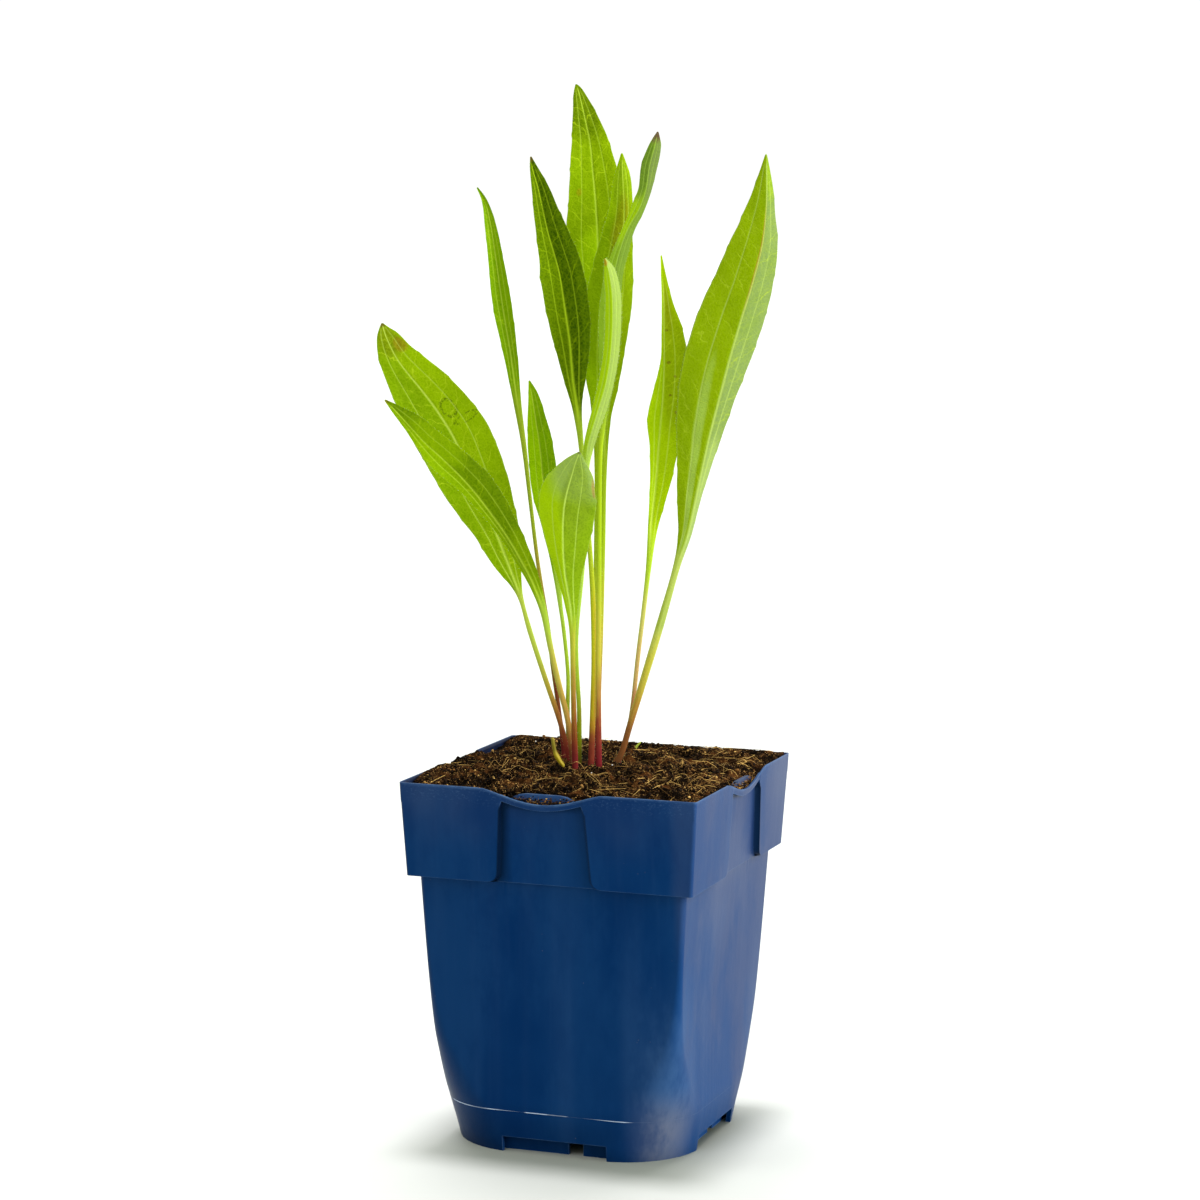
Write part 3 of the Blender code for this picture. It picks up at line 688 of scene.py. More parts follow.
@dataclass(frozen=True)
class LeafSkin:
    """A leaf's finish: two wings, pale veins with a fine net, and a stalk that reddens downwards."""

    left: Tone = (0.19, 0.31, 0.0015)
    right: Tone = (0.19, 0.31, 0.0015)
    deep: Tone = (0.09, 0.17, 0.001)
    vein: Tone = (0.42, 0.58, 0.045)
    back: Tone = (0.2, 0.31, 0.03)
    stem: Stem = Stem.RUDDY
    flush: Tone = (0.3, 0.1, 0.035)
    flush_top: float = 170.0
    sheen: Tone = (0.55, 0.8, 0.03)
    cloudy: float = 0.3
    netted: float = 0.34
    blotches: tuple[Blotch, ...] = ()

    def make(self, name: str) -> bpy.types.Material:
        """Build the material.

        Args:
            name: The leaf's name.

        Returns:
            The material.
        """
        graph = LeafGraph(name + "_skin")
        net = graph.net()
        grain = graph.noise(graph.size, 17.0, 3.0, 0.7)
        pores = graph.span(graph.cells(graph.size, 13.0), 0.3, 0.62)
        mesh = (self.vein[0], self.vein[1], self.vein[2] * 0.25)
        clouds = graph.span(graph.cloud, 0.45, 0.78, 0.0, self.cloudy)
        halves = graph.span(graph.across, 0.47, 0.53)
        tone = graph.layers(self.left, (self.right, halves), (self.deep, clouds))
        for blotch in self.blotches:
            tone = graph.blot(tone, blotch)
        tone = graph.layers(
            tone, (mesh, net, self.netted), (mesh, pores, 0.09),
            (self.deep, graph.span(grain, 0.5, 0.3, 0.0, 0.35)),
            (self.vein, graph.value("vein"), 0.9), (self.vein, graph.value("margin")),
            (graph.over(self.back, self.vein, net, 0.3), graph.value("underside")),
            (self._stalk(graph), graph.value("stalk")),
        )
        gloss = graph.span(graph.cloud, 0.3, 0.7, 0.42, 0.54)
        graph.set(Base_Color=tone, Roughness=gloss, Specular_IOR_Level=0.06, Specular_Tint=self.sheen)
        relief = graph.plus(graph.times(grain, 0.8), graph.times(net, -0.4), graph.times(pores, -0.25))
        graph.bump(relief, 0.00016, 0.8)
        return graph.material

    def _stalk(self, graph: LeafGraph) -> Socket:
        """The stalk's colour: its tone by height, flushed with red on its right side and in streaks.

        Args:
            graph: The leaf's graph.

        Returns:
            The colour's socket.
        """
        uneven = graph.calc("MULTIPLY_ADD", graph.noise(graph.here, 90.0, 2.0), 0.016, -0.008)
        height = graph.plus(graph.axis(graph.here, "Z"), uneven)
        stops = self.stem.value
        streak = graph.drawn(graph.size, (22.0, 0.8, 1.0))
        streaked = graph.times(graph.span(streak, 0.5, 0.32, 0.0, 0.45), graph.span(height, 0.14, 0.156))
        sided = graph.span(graph.across, 0.36, 0.16, 0.0, 0.55)
        sided = graph.times(sided, graph.span(height, 0.144, 0.158))
        tone = graph.ramp(height, [(level_mm * MM, tone) for level_mm, tone in stops])
        tone = graph.over(tone, stops[-1][1], graph.calc("MAXIMUM", streaked, sided))
        sided = graph.span(graph.across, 0.52, 0.76, 0.0, 0.85)
        flushed = graph.calc("MAXIMUM", sided, graph.span(streak, 0.54, 0.7, 0.0, 0.7))
        top = self.flush_top * MM
        below = graph.span(height, top, top - 0.03, 0.0, 0.65)
        return graph.over(tone, self.flush, flushed, below, graph.span(height, 0.143, 0.152))


@dataclass(frozen=True)
class Down:
    """Fine white leaf hairs."""

    root: Tone = (0.44, 0.6, 0.14)
    pale: Tone = (0.62, 0.7, 0.34)

    def make(self) -> bpy.types.Material:
        """Build the material.

        Returns:
            The new material.
        """
        graph = Graph("leaf_down")
        graph.set(Base_Color=graph.over(self.root, self.pale, graph.value("tone")), Roughness=0.5)
        return graph.material


# ---- leaves


STALK_STEPS = 5
BLADE_STEPS = 10
SIDE_VEIN = 0.48


class Blade(Enum):
    """How a leaf's cross-section lies between its midrib and margins."""

    OPEN = 0.75
    CHANNEL = 0.55


@dataclass(frozen=True)
class Leaf:
    """One leaf, stalk and blade in one, by points along its midrib in the leaves' fan.

    A stalk point is (across, up, towards, radius) and a blade point is
    (across, up, towards, left width, right width).
    """

    name: str
    fold: tuple[float, float]
    stalk: tuple[tuple[float, ...], ...]
    blade: tuple[tuple[float, ...], ...]
    tip: Place
    skin: LeafSkin
    shape: Blade = Blade.OPEN
    wave: float = 0.5
    waves: float = 5.0
    down: float = 0.35
    rib: float = 0.16
    spread: tuple[float, ...] = (0.045, 0.1, 0.18, 0.27, 0.36, 0.42, 0.455, 0.48, 0.505, 0.54, 0.62, 0.72,
                                 0.82, 0.9, 0.955, 0.985, 1.0)

    def curve(self) -> np.ndarray:
        """The midrib's stations, close together.

        Returns:
            Rows of across, up, towards, left width and right width.
        """
        rows = [(x, z, d, r, r) for x, z, d, r in self.stalk] + list(self.blade)
        rows.append((*self.tip, 0.25, 0.25))
        steps = [STALK_STEPS] * (len(self.stalk) - 1) + [BLADE_STEPS] * len(self.blade) + [12]
        table = smooth_through(rows, steps[: len(rows) - 1])
        table[:, 3:] = np.maximum(table[:, 3:], 0.12)
        return table

    def section(self, table: np.ndarray) -> dict[str, np.ndarray]:
        """Rows of points round the leaf, with what the skin needs to know of each.

        Args:
            table: The midrib's stations.

        Returns:
            Arrays of rows by columns, by name.
        """
        half = np.array(self.spread)
        front = np.concatenate((-half[::-1], [0.0], half))
        around = np.concatenate((front, front[-2:0:-1], front[:1]))[None, :]
        facing = np.concatenate((np.ones(len(front)), -np.ones(len(front) - 2), [1.0]))[None, :]
        is_front = facing > 0
        across, up, towards, left, right = (table[:, i, None] for i in range(5))
        row = np.arange(len(table))[:, None]
        blade_row = STALK_STEPS * (len(self.stalk) - 1)
        run = unit(np.gradient(table[:, :2], axis=0))
        pieces = np.linalg.norm(np.diff(table[:, :3], axis=0), axis=1)
        length = np.concatenate(([0.0], np.cumsum(pieces)))[:, None]
        along = length / length[-1]
        mean = (left + right) / 2
        flat = np.where(row > blade_row + 4 * BLADE_STEPS, 1.0, held((mean - 1.1) / 1.4))
        seed = sum(ord(letter) for letter in self.name) % 17

        # The outline, with side veins that sway and a margin that is toothed a little.
        sway = 0.02 * np.sin(along * 10.0 + seed) + 0.011 * np.sin(along * 27.0 + 2.0 * seed)
        s = around + np.sign(around) * sway * np.exp(-(((np.abs(around) - SIDE_VEIN) / 0.13) ** 2))
        width = np.where(s < 0, left, right)
        circle = -np.cos(math.pi * (s + 1) / 2)
        reach = width * (circle + (s - circle) * flat)
        beat = length / 13.0 + seed * 0.37 + np.where(s < 0, 0.0, 0.43)
        teeth = np.maximum(np.sin(beat * 2 * math.pi), 0.0) ** 9 - 0.25 * np.sin(beat * 7.3)
        reach = reach + np.sign(s) * np.abs(s) ** 8 * teeth * 0.26 * flat * held(width / 6.0)

        # How far each point stands off the blade's middle plane: the thickness and the veins.
        shrink = np.clip(mean / 4.0, 0.25, 1.0) * held((1.0 - along) * 12.0)
        thick = (0.14 + 0.2 * (1.0 - np.abs(s))) * (1.0 - np.abs(s) ** 6) * np.clip(mean / 2.0, 0.3, 1.0)
        taper = 1.0 - 0.75 * along
        base = held((0.8 - along) * 2.6)
        mid_line = np.exp(-((reach / (0.26 * taper + 0.09 + self.rib * base)) ** 2))
        lateral = np.abs(np.abs(around) - SIDE_VEIN) * width
        side_line = np.exp(-((lateral / (0.15 + 0.25 * self.rib * base)) ** 2)) * held(width / 1.2 - 1.0)
        groove = -0.22 * mid_line * shrink - 0.1 * side_line
        ridge = 0.55 * np.exp(-((reach / 0.8) ** 2)) * taper * shrink + 0.12 * side_line
        lift_blade = np.where(is_front, thick + groove, -(thick + ridge))
        rounded = np.sin(math.pi * (s + 1) / 2) * np.where(is_front, 0.55, 1.0)
        lift_stem = facing * np.minimum(mean, 1.4) * rounded

        # The blade's fold, its waves and the low quilting between its veins.
        slope = np.where(s < 0, self.fold[0], self.fold[1])
        bow = self.shape.value
        bent = np.abs(s) * bow + np.abs(s) ** 2 * (1.0 - bow)
        beat = np.sin(along * self.waves * 2 * math.pi + seed + np.where(s < 0, 0.0, 1.9))
        ripple = self.wave * np.abs(s) ** 3 * beat * held(width / 9.0)
        quilt = 0.1 * np.sin(along * 95.0 + seed) * np.sin(np.abs(s) * 9.0) * held(width / 8.0)
        rise = (slope * width * bent + ripple + quilt) * flat + lift_stem + (lift_blade - lift_stem) * flat

        veined = np.maximum(mid_line * (0.35 + 0.65 * is_front), (0.5 + 0.25 * base) * side_line)
        stalk = (1.0 - held((mean - 0.95) / 0.9) * (row >= blade_row)) * (row <= int(np.argmax(mean)))
        return {
            "place": fan_to_world(across + run[:, 1:2] * reach, up - run[:, 0:1] * reach, towards + rise),
            "skin": np.stack(np.broadcast_arrays((s + 1) / 2, along), axis=-1),
            "size": np.stack(np.broadcast_arrays(reach / 10.0, length / 10.0), axis=-1),
            "vein": veined * held((mean - 0.95) / 0.5),
            "margin": held((np.abs(around) - 0.965) / 0.03) * 0.22 * flat,
            "stalk": stalk + np.zeros_like(reach),
            "underside": np.where(is_front, 0.0, 1.0) * flat,
        }

    def build(self) -> None:
        """Build the leaf and dress it."""
        table = self.curve()
        parts = self.section(table)
        for index in (0, -1):
            parts["place"][index] = fan_to_world(*table[index, :3])
        thing = sheet_from_grid(self.name + "_blade", parts["place"])
        thing.data.uv_layers[0].name = "skin"
        for name in ("skin", "size"):
            store_map(thing, name, parts[name])
        for name in ("vein", "margin", "stalk", "underside"):
            store_values(thing, name, parts[name])
        weld(thing)
        pick(thing)
        bpy.ops.object.shade_smooth()
        finish_piece(thing, self.skin.make(self.name), self.name, self.name)

    def hairs(self, chance: random.Random) -> tuple[np.ndarray, np.ndarray]:
        """Roots and tips of the hairs along the margins and up the stalk.

        Args:
            chance: The source of randomness.

        Returns:
            Two arrays of places in metres, the roots and the tips.
        """
        place = self.section(self.curve())["place"]
        count = len(self.spread)
        middle = place[:, count]
        roots, tips = [], []
        for margin in (place[:, 0], place[:, 2 * count]):
            for row in range(1, len(place) - 2):
                gap = np.linalg.norm(margin[row + 1] - margin[row])
                out, ahead = unit(margin[row] - middle[row]), unit(middle[row + 1] - middle[row])
                for _ in range(int(gap / (0.34 * MM / max(self.down, 0.05)) + chance.random())):
                    share = chance.random()
                    root = margin[row] * (1 - share) + margin[row + 1] * share
                    spread = np.array([chance.uniform(-0.35, 0.35) for _ in range(3)])
                    way = unit(out + ahead * chance.uniform(0.1, 0.7) + spread)
                    reach = chance.uniform(0.25, 0.75) * (0.6 + 0.6 * self.down) * MM
                    roots.append(root - way * 0.08 * MM)
                    tips.append(root + way * reach)
        return np.array(roots), np.array(tips)


LEAVES = (
    Leaf(
        "arching_left_leaf", fold=(0.15, 0.15),
        stalk=((-10.4, 126, 0, 1.0), (-10.6, 134, 0, 1.0), (-14, 147.5, -1.5, 0.9), (-19, 162, -3, 0.9),
               (-25, 180, -5, 0.9)),
        blade=((-29, 194, -6, 1.2, 1.2), (-34, 207, -7.5, 5.5, 6), (-38, 217, -8.5, 7.5, 9),
               (-45, 232, -10, 11, 12.5), (-52, 248, -11.5, 13.2, 13.2), (-58, 258, -12.5, 13, 12),
               (-64, 266, -13.5, 11, 10.5), (-72.5, 276.5, -14.5, 7, 7.5), (-77, 285, -15.5, 4, 4.5)),
        tip=(-78.8, 290.5, -16),
        skin=LeafSkin(
            left=(0.158, 0.285, 0.0004), right=(0.23, 0.38, 0.0004), deep=(0.11, 0.215, 0.0003),
            vein=(0.5, 0.66, 0.08), netted=0.5,
            blotches=(
                Blotch(0.35, 0.55, 0.2, 0.12, (0.175, 0.3, 0.0006), 0.6),
                Blotch(0.3, 0.86, 0.2, 0.06, (0.125, 0.23, 0.0006), 0.45),
                Blotch(0.5, 0.975, 0.5, 0.055, (0.14, 0.19, 0.002), 0.8),
                Blotch(0.8, 0.945, 0.22, 0.02, (0.23, 0.11, 0.006), 0.6),
                Blotch(0.5, 1.0, 0.6, 0.01, (0.07, 0.025, 0.01), 0.9),
                Blotch(0.67, 0.785, 0.105, 0.018, (0.045, 0.08, 0.002), 0.7, ring=True),
                Blotch(0.8, 0.752, 0.17, 0.007, (0.045, 0.08, 0.002), 0.62, ring=True),
            ),
        ),
    ),
    Leaf(
        "near_left_leaf", fold=(0.4, 0.5),
        stalk=((-9.2, 126, 5, 1.1), (-9.4, 135, 5, 1.1), (-11.3, 150, 6.5, 1.0), (-14.5, 163, 7.5, 1.0),
               (-17.6, 177, 9, 1.0)),
        blade=((-20, 189, 9.7, 1.1, 1.3), (-23, 198, 10.5, 1.5, 2.4), (-27, 206, 11, 1.8, 4),
               (-34, 218, 12, 2.2, 6), (-43, 230.5, 13, 3.2, 8.2), (-49, 237.5, 13.5, 4, 8),
               (-55.5, 244, 14.3, 4.8, 7.2), (-62, 250, 14.8, 3.2, 6.4), (-67, 255.5, 15.2, 2, 5.4),
               (-72, 261, 15.7, 1.2, 2.5)),
        tip=(-75.9, 265, 16),
        skin=LeafSkin(
            left=(0.168, 0.298, 0.0004), right=(0.122, 0.23, 0.0004), deep=(0.07, 0.15, 0.0003),
            vein=(0.46, 0.64, 0.04), stem=Stem.OCHRE,
            blotches=(
                Blotch(0.3, 0.5, 0.2, 0.04, (0.12, 0.23, 0.0004), 0.7),
                Blotch(0.8, 0.52, 0.4, 0.09, (0.22, 0.37, 0.0004), 0.7),
                Blotch(0.75, 0.86, 0.4, 0.09, (0.235, 0.4, 0.0004), 0.75),
                Blotch(0.5, 0.995, 0.5, 0.008, (0.13, 0.07, 0.01), 0.8),
            ),
        ),
        shape=Blade.CHANNEL, wave=0.3,
    ),
    Leaf(
        "slender_leaf", fold=(0.7, 0.7),
        stalk=((-12.7, 126, -5, 0.9), (-12.8, 137, -5.3, 0.9), (-15, 154, -6.7, 0.8), (-17, 168, -7.8, 0.8),
               (-18.8, 182.5, -9, 0.7), (-22.4, 204, -11, 0.7), (-25.2, 226, -12.7, 0.7)),
        blade=((-27.6, 246, -14.3, 0.9, 0.9), (-30, 261.5, -15.5, 1.4, 1.4), (-32.5, 279, -17, 2.5, 2.5),
               (-35.6, 297, -18.5, 3.4, 3.4), (-38.2, 315, -20, 2.7, 2.6), (-40, 326, -21, 2.1, 1.9),
               (-42, 334, -21.6, 1.1, 0.9)),
        tip=(-44.9, 339, -22),
        skin=LeafSkin(left=(0.125, 0.25, 0.0004), right=(0.16, 0.305, 0.0004), deep=(0.09, 0.19, 0.0003),
                      stem=Stem.DARK_RED),
        shape=Blade.CHANNEL, wave=0.2,
    ),
    Leaf(
        "short_leaf", fold=(0.3, 0.3),
        stalk=((-10.6, 126, -9, 0.9), (-10.8, 134, -9, 0.9), (-11.5, 150, -8, 0.8), (-11.4, 164, -7.4, 0.7),
               (-12.8, 179, -6.7, 0.7)),
        blade=((-14.5, 191.5, -6, 0.8, 0.9), (-16.6, 206, -5.3, 1.3, 2.6), (-18.8, 220.5, -4.6, 2.7, 4.3),
               (-20.2, 231.5, -4, 4.3, 5.3), (-21.7, 247, -3.2, 4.3, 4.8), (-23, 255.5, -2.8, 3.2, 4),
               (-24.6, 265.5, -2.3, 1.3, 2.4)),
        tip=(-25.6, 271, -2),
        skin=LeafSkin(left=(0.225, 0.415, 0.0004), right=(0.16, 0.32, 0.0004), deep=(0.085, 0.18, 0.0003),
                      stem=Stem.GREEN),
        wave=0.3,
    ),
    Leaf(
        "front_oval_leaf", fold=(-0.35, -0.35),
        stalk=((-8.6, 126, 10.3, 1.1), (-8.6, 135, 10.5, 1.1), (-9, 149, 13, 1.0), (-9.4, 166, 16.2, 0.9)),
        blade=((-9.7, 183, 19.4, 1.0, 1.1), (-10.5, 193, 21.3, 1.8, 2.8), (-12.3, 204.5, 23.5, 3, 6.2),
               (-13, 214, 25.4, 5.4, 9), (-13, 225, 27.4, 8.2, 11), (-12, 232.5, 28.8, 9.3, 10.6),
               (-10, 240, 30.5, 6.8, 7.9), (-8.7, 244.5, 32, 3.8, 4.4)),
        tip=(-7.3, 248.5, 34),
        skin=LeafSkin(
            left=(0.315, 0.51, 0.0004), right=(0.14, 0.245, 0.003), deep=(0.17, 0.31, 0.001),
            vein=(0.46, 0.64, 0.1), stem=Stem.RUST, netted=0.1,
            blotches=(
                Blotch(0.28, 0.74, 0.22, 0.1, (0.3, 0.47, 0.001), 0.7),
                # The grey-green patch by the tip's right is painted sheen.
                Blotch(0.62, 0.95, 0.75, 0.115, (0.23, 0.335, 0.09), 0.75),
                Blotch(0.66, 0.86, 0.3, 0.13, (0.13, 0.21, 0.008), 0.65),
                Blotch(0.98, 0.9, 0.05, 0.03, (0.3, 0.16, 0.06), 0.7),
                Blotch(0.5, 1.0, 0.6, 0.008, (0.1, 0.09, 0.05), 0.8),
            ),
        ),
        wave=0.3,
    ),
    Leaf(
        "dark_leaf", fold=(0.45, 0.5),
        stalk=((-3, 126, 3, 1.1), (-2.9, 135, 3, 1.1), (-2.3, 156, 3, 1.0), (-2.1, 175, 3, 0.9),
               (-2.9, 200, 3.3, 0.9), (-5.2, 228.5, 3.4, 0.8)),
        blade=((-7, 249, 3.5, 1.0, 0.9), (-8.5, 262, 3.6, 1.8, 1.8), (-10, 271.5, 3.6, 3.1, 4.6),
               (-11.1, 284, 3.7, 5.4, 7.1), (-12.5, 294, 3.7, 6.5, 8.5), (-14.7, 308, 3.8, 6.9, 8.6),
               (-16.8, 316, 3.8, 5.5, 8), (-19, 323.5, 3.9, 4.2, 7), (-20.8, 331.5, 3.9, 3.3, 5.3),
               (-22.5, 339, 3.9, 2.3, 3.7), (-24.4, 345.5, 4, 1.0, 2)),
        tip=(-25.1, 350, 4),
        skin=LeafSkin(
            left=(0.08, 0.15, 0.0004), right=(0.033, 0.078, 0.0004), deep=(0.024, 0.058, 0.0003),
            vein=(0.4, 0.58, 0.015), stem=Stem.YELLOW, flush_top=205.0, netted=0.26,
            blotches=(
                Blotch(0.93, 0.75, 0.13, 0.5, (0.07, 0.14, 0.0005), 0.75),
                Blotch(0.5, 1.0, 0.6, 0.01, (0.1, 0.045, 0.01), 0.8),
            ),
        ),
        shape=Blade.CHANNEL, wave=0.3, rib=0.75,
    ),
    Leaf(
        "tallest_leaf", fold=(0.15, 0.15),
        stalk=((-2.3, 126, -6.8, 1.1), (-2.2, 134, -7, 1.1), (-2, 153.5, -9, 1.0),
               (-1.7, 178.5, -11.3, 0.9), (-1.4, 208, -14.2, 0.9)),
        blade=((-1.4, 241, -17.3, 0.9, 0.9), (-1.1, 262.5, -19.3, 2.8, 1.9), (-0.8, 284, -21.4, 6.9, 4.6),
               (-0.9, 302, -23, 10, 7.5), (-1.5, 320.5, -25, 11.4, 9.6), (-2.3, 333.5, -26, 9.9, 9.8),
               (-3.3, 344, -27, 8.4, 9), (-4.4, 355, -28, 6.8, 6.7), (-6.3, 364, -29, 4.6, 4.6),
               (-8.5, 373, -29.8, 2.0, 1.8)),
        tip=(-9.6, 376, -30),
        skin=LeafSkin(
            left=(0.16, 0.272, 0.0004), right=(0.172, 0.285, 0.0004), deep=(0.11, 0.2, 0.0003),
            vein=(0.46, 0.64, 0.05), stem=Stem.CRIMSON, flush_top=184.0, netted=0.5,
            blotches=(
                Blotch(0.5, 0.965, 0.7, 0.055, (0.07, 0.125, 0.0006), 0.8),
                Blotch(0.45, 0.73, 0.45, 0.06, (0.25, 0.43, 0.0006), 0.7),
                Blotch(0.2, 0.845, 0.06, 0.006, (0.26, 0.19, 0.004), 0.5),
            ),
        ),
    ),
    Leaf(
        "spotted_leaf", fold=(-0.2, -0.2),
        stalk=((-0.4, 126, -3, 1.1), (-0.4, 134, -3, 1.1), (-0.5, 154, -4, 1.0), (0.3, 179, -5.3, 0.9),
               (0.9, 210, -6.9, 0.9)),
        blade=((1.3, 237, -8.2, 1.1, 0.9), (1.5, 256, -9.2, 3.7, 2), (2.1, 268.5, -9.8, 7.2, 4.1),
               (3.1, 283, -10.6, 9.6, 5.6), (4.5, 299, -11.4, 10.2, 6.5), (5.8, 311.5, -12, 8.6, 5.5),
               (7.4, 322, -12.6, 7.4, 3.6), (8, 331, -13, 5.7, 3.1), (7.4, 342.5, -13.6, 3.2, 2.8)),
        tip=(7, 351.5, -14),
        skin=LeafSkin(
            left=(0.235, 0.405, 0.0004), right=(0.19, 0.3, 0.0012), deep=(0.105, 0.19, 0.0003),
            stem=Stem.CRIMSON, flush_top=184.0,
            blotches=(
                Blotch(0.2, 0.8, 0.25, 0.16, (0.125, 0.22, 0.0006), 0.7),
                Blotch(0.45, 0.955, 0.5, 0.045, (0.16, 0.265, 0.004), 0.7),
                Blotch(0.52, 0.88, 0.34, 0.06, (0.16, 0.145, 0.003), 0.7),
                Blotch(0.6, 0.862, 0.2, 0.02, (0.25, 0.085, 0.012), 0.95),
            ),
        ),
    ),
    Leaf(
        "twisted_leaf", fold=(0.5, -0.5),
        stalk=((-0.1, 126, 8, 1.1), (-0.1, 134.5, 8, 1.1), (-0.4, 157, 8.2, 1.0), (-0.4, 193, 8.5, 0.9),
               (-0.5, 221.5, 8.8, 0.9)),
        blade=((-0.3, 245, 9, 0.9, 0.9), (0.4, 257.5, 9.1, 1.3, 1.5), (1.7, 270, 9.2, 2.2, 2.4),
               (2.8, 285, 9.3, 3.8, 3.1), (3.6, 297, 9.4, 4.3, 3), (4.5, 308.5, 9.6, 3.5, 2.9),
               (6.2, 316.5, 9.6, 2.6, 3), (9.2, 325, 9.7, 1.9, 2.4), (13.2, 332, 9.8, 3, 1.8),
               (15.4, 338.5, 9.8, 2.8, 1.9), (16.7, 347, 9.9, 3, 2.7), (18.4, 354, 10, 2, 2.2)),
        tip=(19.4, 358.8, 10),
        skin=LeafSkin(
            # The right wing's grey-green and the grey patch by the tip are partly the leaf's paler underside
            # and partly painted sheen.
            left=(0.135, 0.235, 0.01), right=(0.135, 0.225, 0.024), deep=(0.09, 0.165, 0.006),
            vein=(0.22, 0.34, 0.045), stem=Stem.CRIMSON, flush_top=184.0, netted=0.1,
            blotches=(
                Blotch(0.25, 0.86, 0.36, 0.04, (0.2, 0.33, 0.001), 0.9),
                Blotch(0.2, 0.945, 0.36, 0.052, (0.055, 0.105, 0.01), 0.9),
                Blotch(0.78, 0.945, 0.36, 0.055, (0.115, 0.165, 0.042), 0.9),
                Blotch(0.5, 1.003, 0.9, 0.022, (0.075, 0.03, 0.028), 0.95),
            ),
        ),
        shape=Blade.CHANNEL, wave=0.2,
    ),
    Leaf(
        "pale_leaf", fold=(-0.35, -0.55),
        stalk=((-7.3, 126, 1, 1.0), (-7.3, 134.5, 1, 1.0), (-7.3, 153.5, 3.3, 0.8), (-8.3, 170, 5.3, 0.8),
               (-8.3, 183, 6.7, 0.8), (-6.3, 205, 9.3, 0.8), (-5.6, 222, 11.2, 0.8)),
        blade=((-5.2, 240, 13.4, 1.0, 1.1), (-4.6, 248, 14.2, 1.5, 2.0), (-3, 254.5, 15, 1.9, 2.3),
               (-0.3, 263.5, 16, 2.4, 2.7), (2.1, 272.5, 17, 2.8, 2.6), (3.5, 283, 18.3, 2.6, 2.8),
               (4, 293, 19.5, 2.7, 2.9), (3.8, 302, 20.5, 2.5, 2.9), (2.6, 310, 21.4, 1.8, 2.3)),
        tip=(1.1, 315, 22),
        skin=LeafSkin(
            left=(0.31, 0.5, 0.002), right=(0.255, 0.355, 0.075), deep=(0.21, 0.36, 0.01),
            vein=(0.37, 0.53, 0.09), stem=Stem.GREEN, netted=0.12,
            blotches=(Blotch(0.3, 0.995, 0.4, 0.01, (0.32, 0.14, 0.01), 0.8),),
        ),
        wave=0.2, down=1.0,
    ),
    Leaf(
        "narrow_right_leaf", fold=(0.4, 0.4),
        stalk=((6.8, 126, -1.5, 1.0), (6.9, 133.5, -1.5, 1.0), (9.7, 142, -1.7, 0.8), (11.8, 153, -2, 0.8),
               (13.7, 171.5, -2.4, 0.8)),
        blade=((15.5, 187, -2.8, 0.8, 0.8), (17.2, 203, -3.2, 0.9, 1.0), (18, 218, -3.5, 1.0, 2.5),
               (19.8, 235.5, -4, 2.2, 5.4), (20.6, 247, -4.3, 3.2, 7), (21.4, 257, -4.6, 4.9, 7.4),
               (22.1, 266, -4.8, 3.8, 8.1), (22.4, 278, -5.1, 1.3, 8.4), (22.3, 288.5, -5.3, 0.9, 6.8),
               (22.2, 299.5, -5.6, 0.8, 3), (21.7, 308, -5.8, 0.6, 1.3)),
        tip=(21.1, 315.5, -6),
        skin=LeafSkin(
            # Both wings are painted brighter than the leaf's green: painted light that offsets the shadow
            # the broad right leaf casts on it.
            left=(0.4, 0.62, 0.0006), right=(0.4, 0.6, 0.0006), deep=(0.2, 0.34, 0.0004),
            vein=(0.66, 0.84, 0.1), stem=Stem.PINK,
            blotches=(
                Blotch(0.75, 0.8, 0.34, 0.14, (0.23, 0.32, 0.001), 0.65),
                Blotch(0.62, 0.9, 0.2, 0.05, (0.24, 0.27, 0.002), 0.55),
                Blotch(0.6, 0.8, 0.045, 0.0035, (0.13, 0.07, 0.004), 0.7),
                *(Blotch(*speck, (0.13, 0.07, 0.004), 0.65) for speck in (
                    (0.74, 0.775, 0.04, 0.003), (0.66, 0.74, 0.04, 0.003),
                    (0.84, 0.71, 0.045, 0.0035), (0.56, 0.86, 0.05, 0.003))),
            ),
        ),
        wave=0.4,
    ),
    Leaf(
        "broad_right_leaf", fold=(-0.1, -0.9),
        stalk=((4.9, 126, 5, 1.2), (5.2, 133, 5, 1.2), (8, 138, 5.2, 1.1), (11, 148.5, 5.8, 1.1),
               (15.8, 165, 6.6, 1.3), (21.4, 184.5, 7.7, 1.4)),
        blade=((27, 205, 8.6, 1.3, 1.2), (31, 217, 9.2, 3.6, 1.3), (33.8, 230, 9.9, 6.9, 1.8),
               (36.1, 241.5, 10.5, 9.3, 3), (38.8, 254, 11, 12.5, 4.5), (42.2, 267.5, 11.8, 15.2, 5.7),
               (45.1, 279, 12.4, 15.8, 7.2), (49, 293, 13, 15.2, 8.1), (52.7, 305.5, 13.7, 13.4, 7.5),
               (56, 319, 14.4, 11.3, 5.8), (57.2, 330, 14.9, 8, 3.5), (57.4, 340, 15.5, 4.4, 2.2)),
        tip=(57, 351.3, 16),
        skin=LeafSkin(
            # The right wing's pale grey-green and the pale patch on it are painted sheen, where the wing
            # turns to the light.
            left=(0.185, 0.29, 0.0004), right=(0.16, 0.235, 0.06), deep=(0.11, 0.195, 0.0005),
            vein=(0.36, 0.48, 0.1), stem=Stem.OLIVE, netted=0.42,
            blotches=(
                Blotch(0.315, 0.5, 0.085, 0.19, (0.265, 0.4, 0.06), 0.8),
                Blotch(0.8, 0.46, 0.34, 0.12, (0.27, 0.36, 0.11), 0.7),
                Blotch(0.12, 0.55, 0.12, 0.12, (0.15, 0.25, 0.0004), 0.6),
                Blotch(0.75, 0.97, 0.4, 0.05, (0.185, 0.29, 0.003), 0.8),
                Blotch(0.495, 0.85, 0.024, 0.11, (0.25, 0.11, 0.003), 0.9),
            ),
        ),
        wave=0.4,
    ),
)


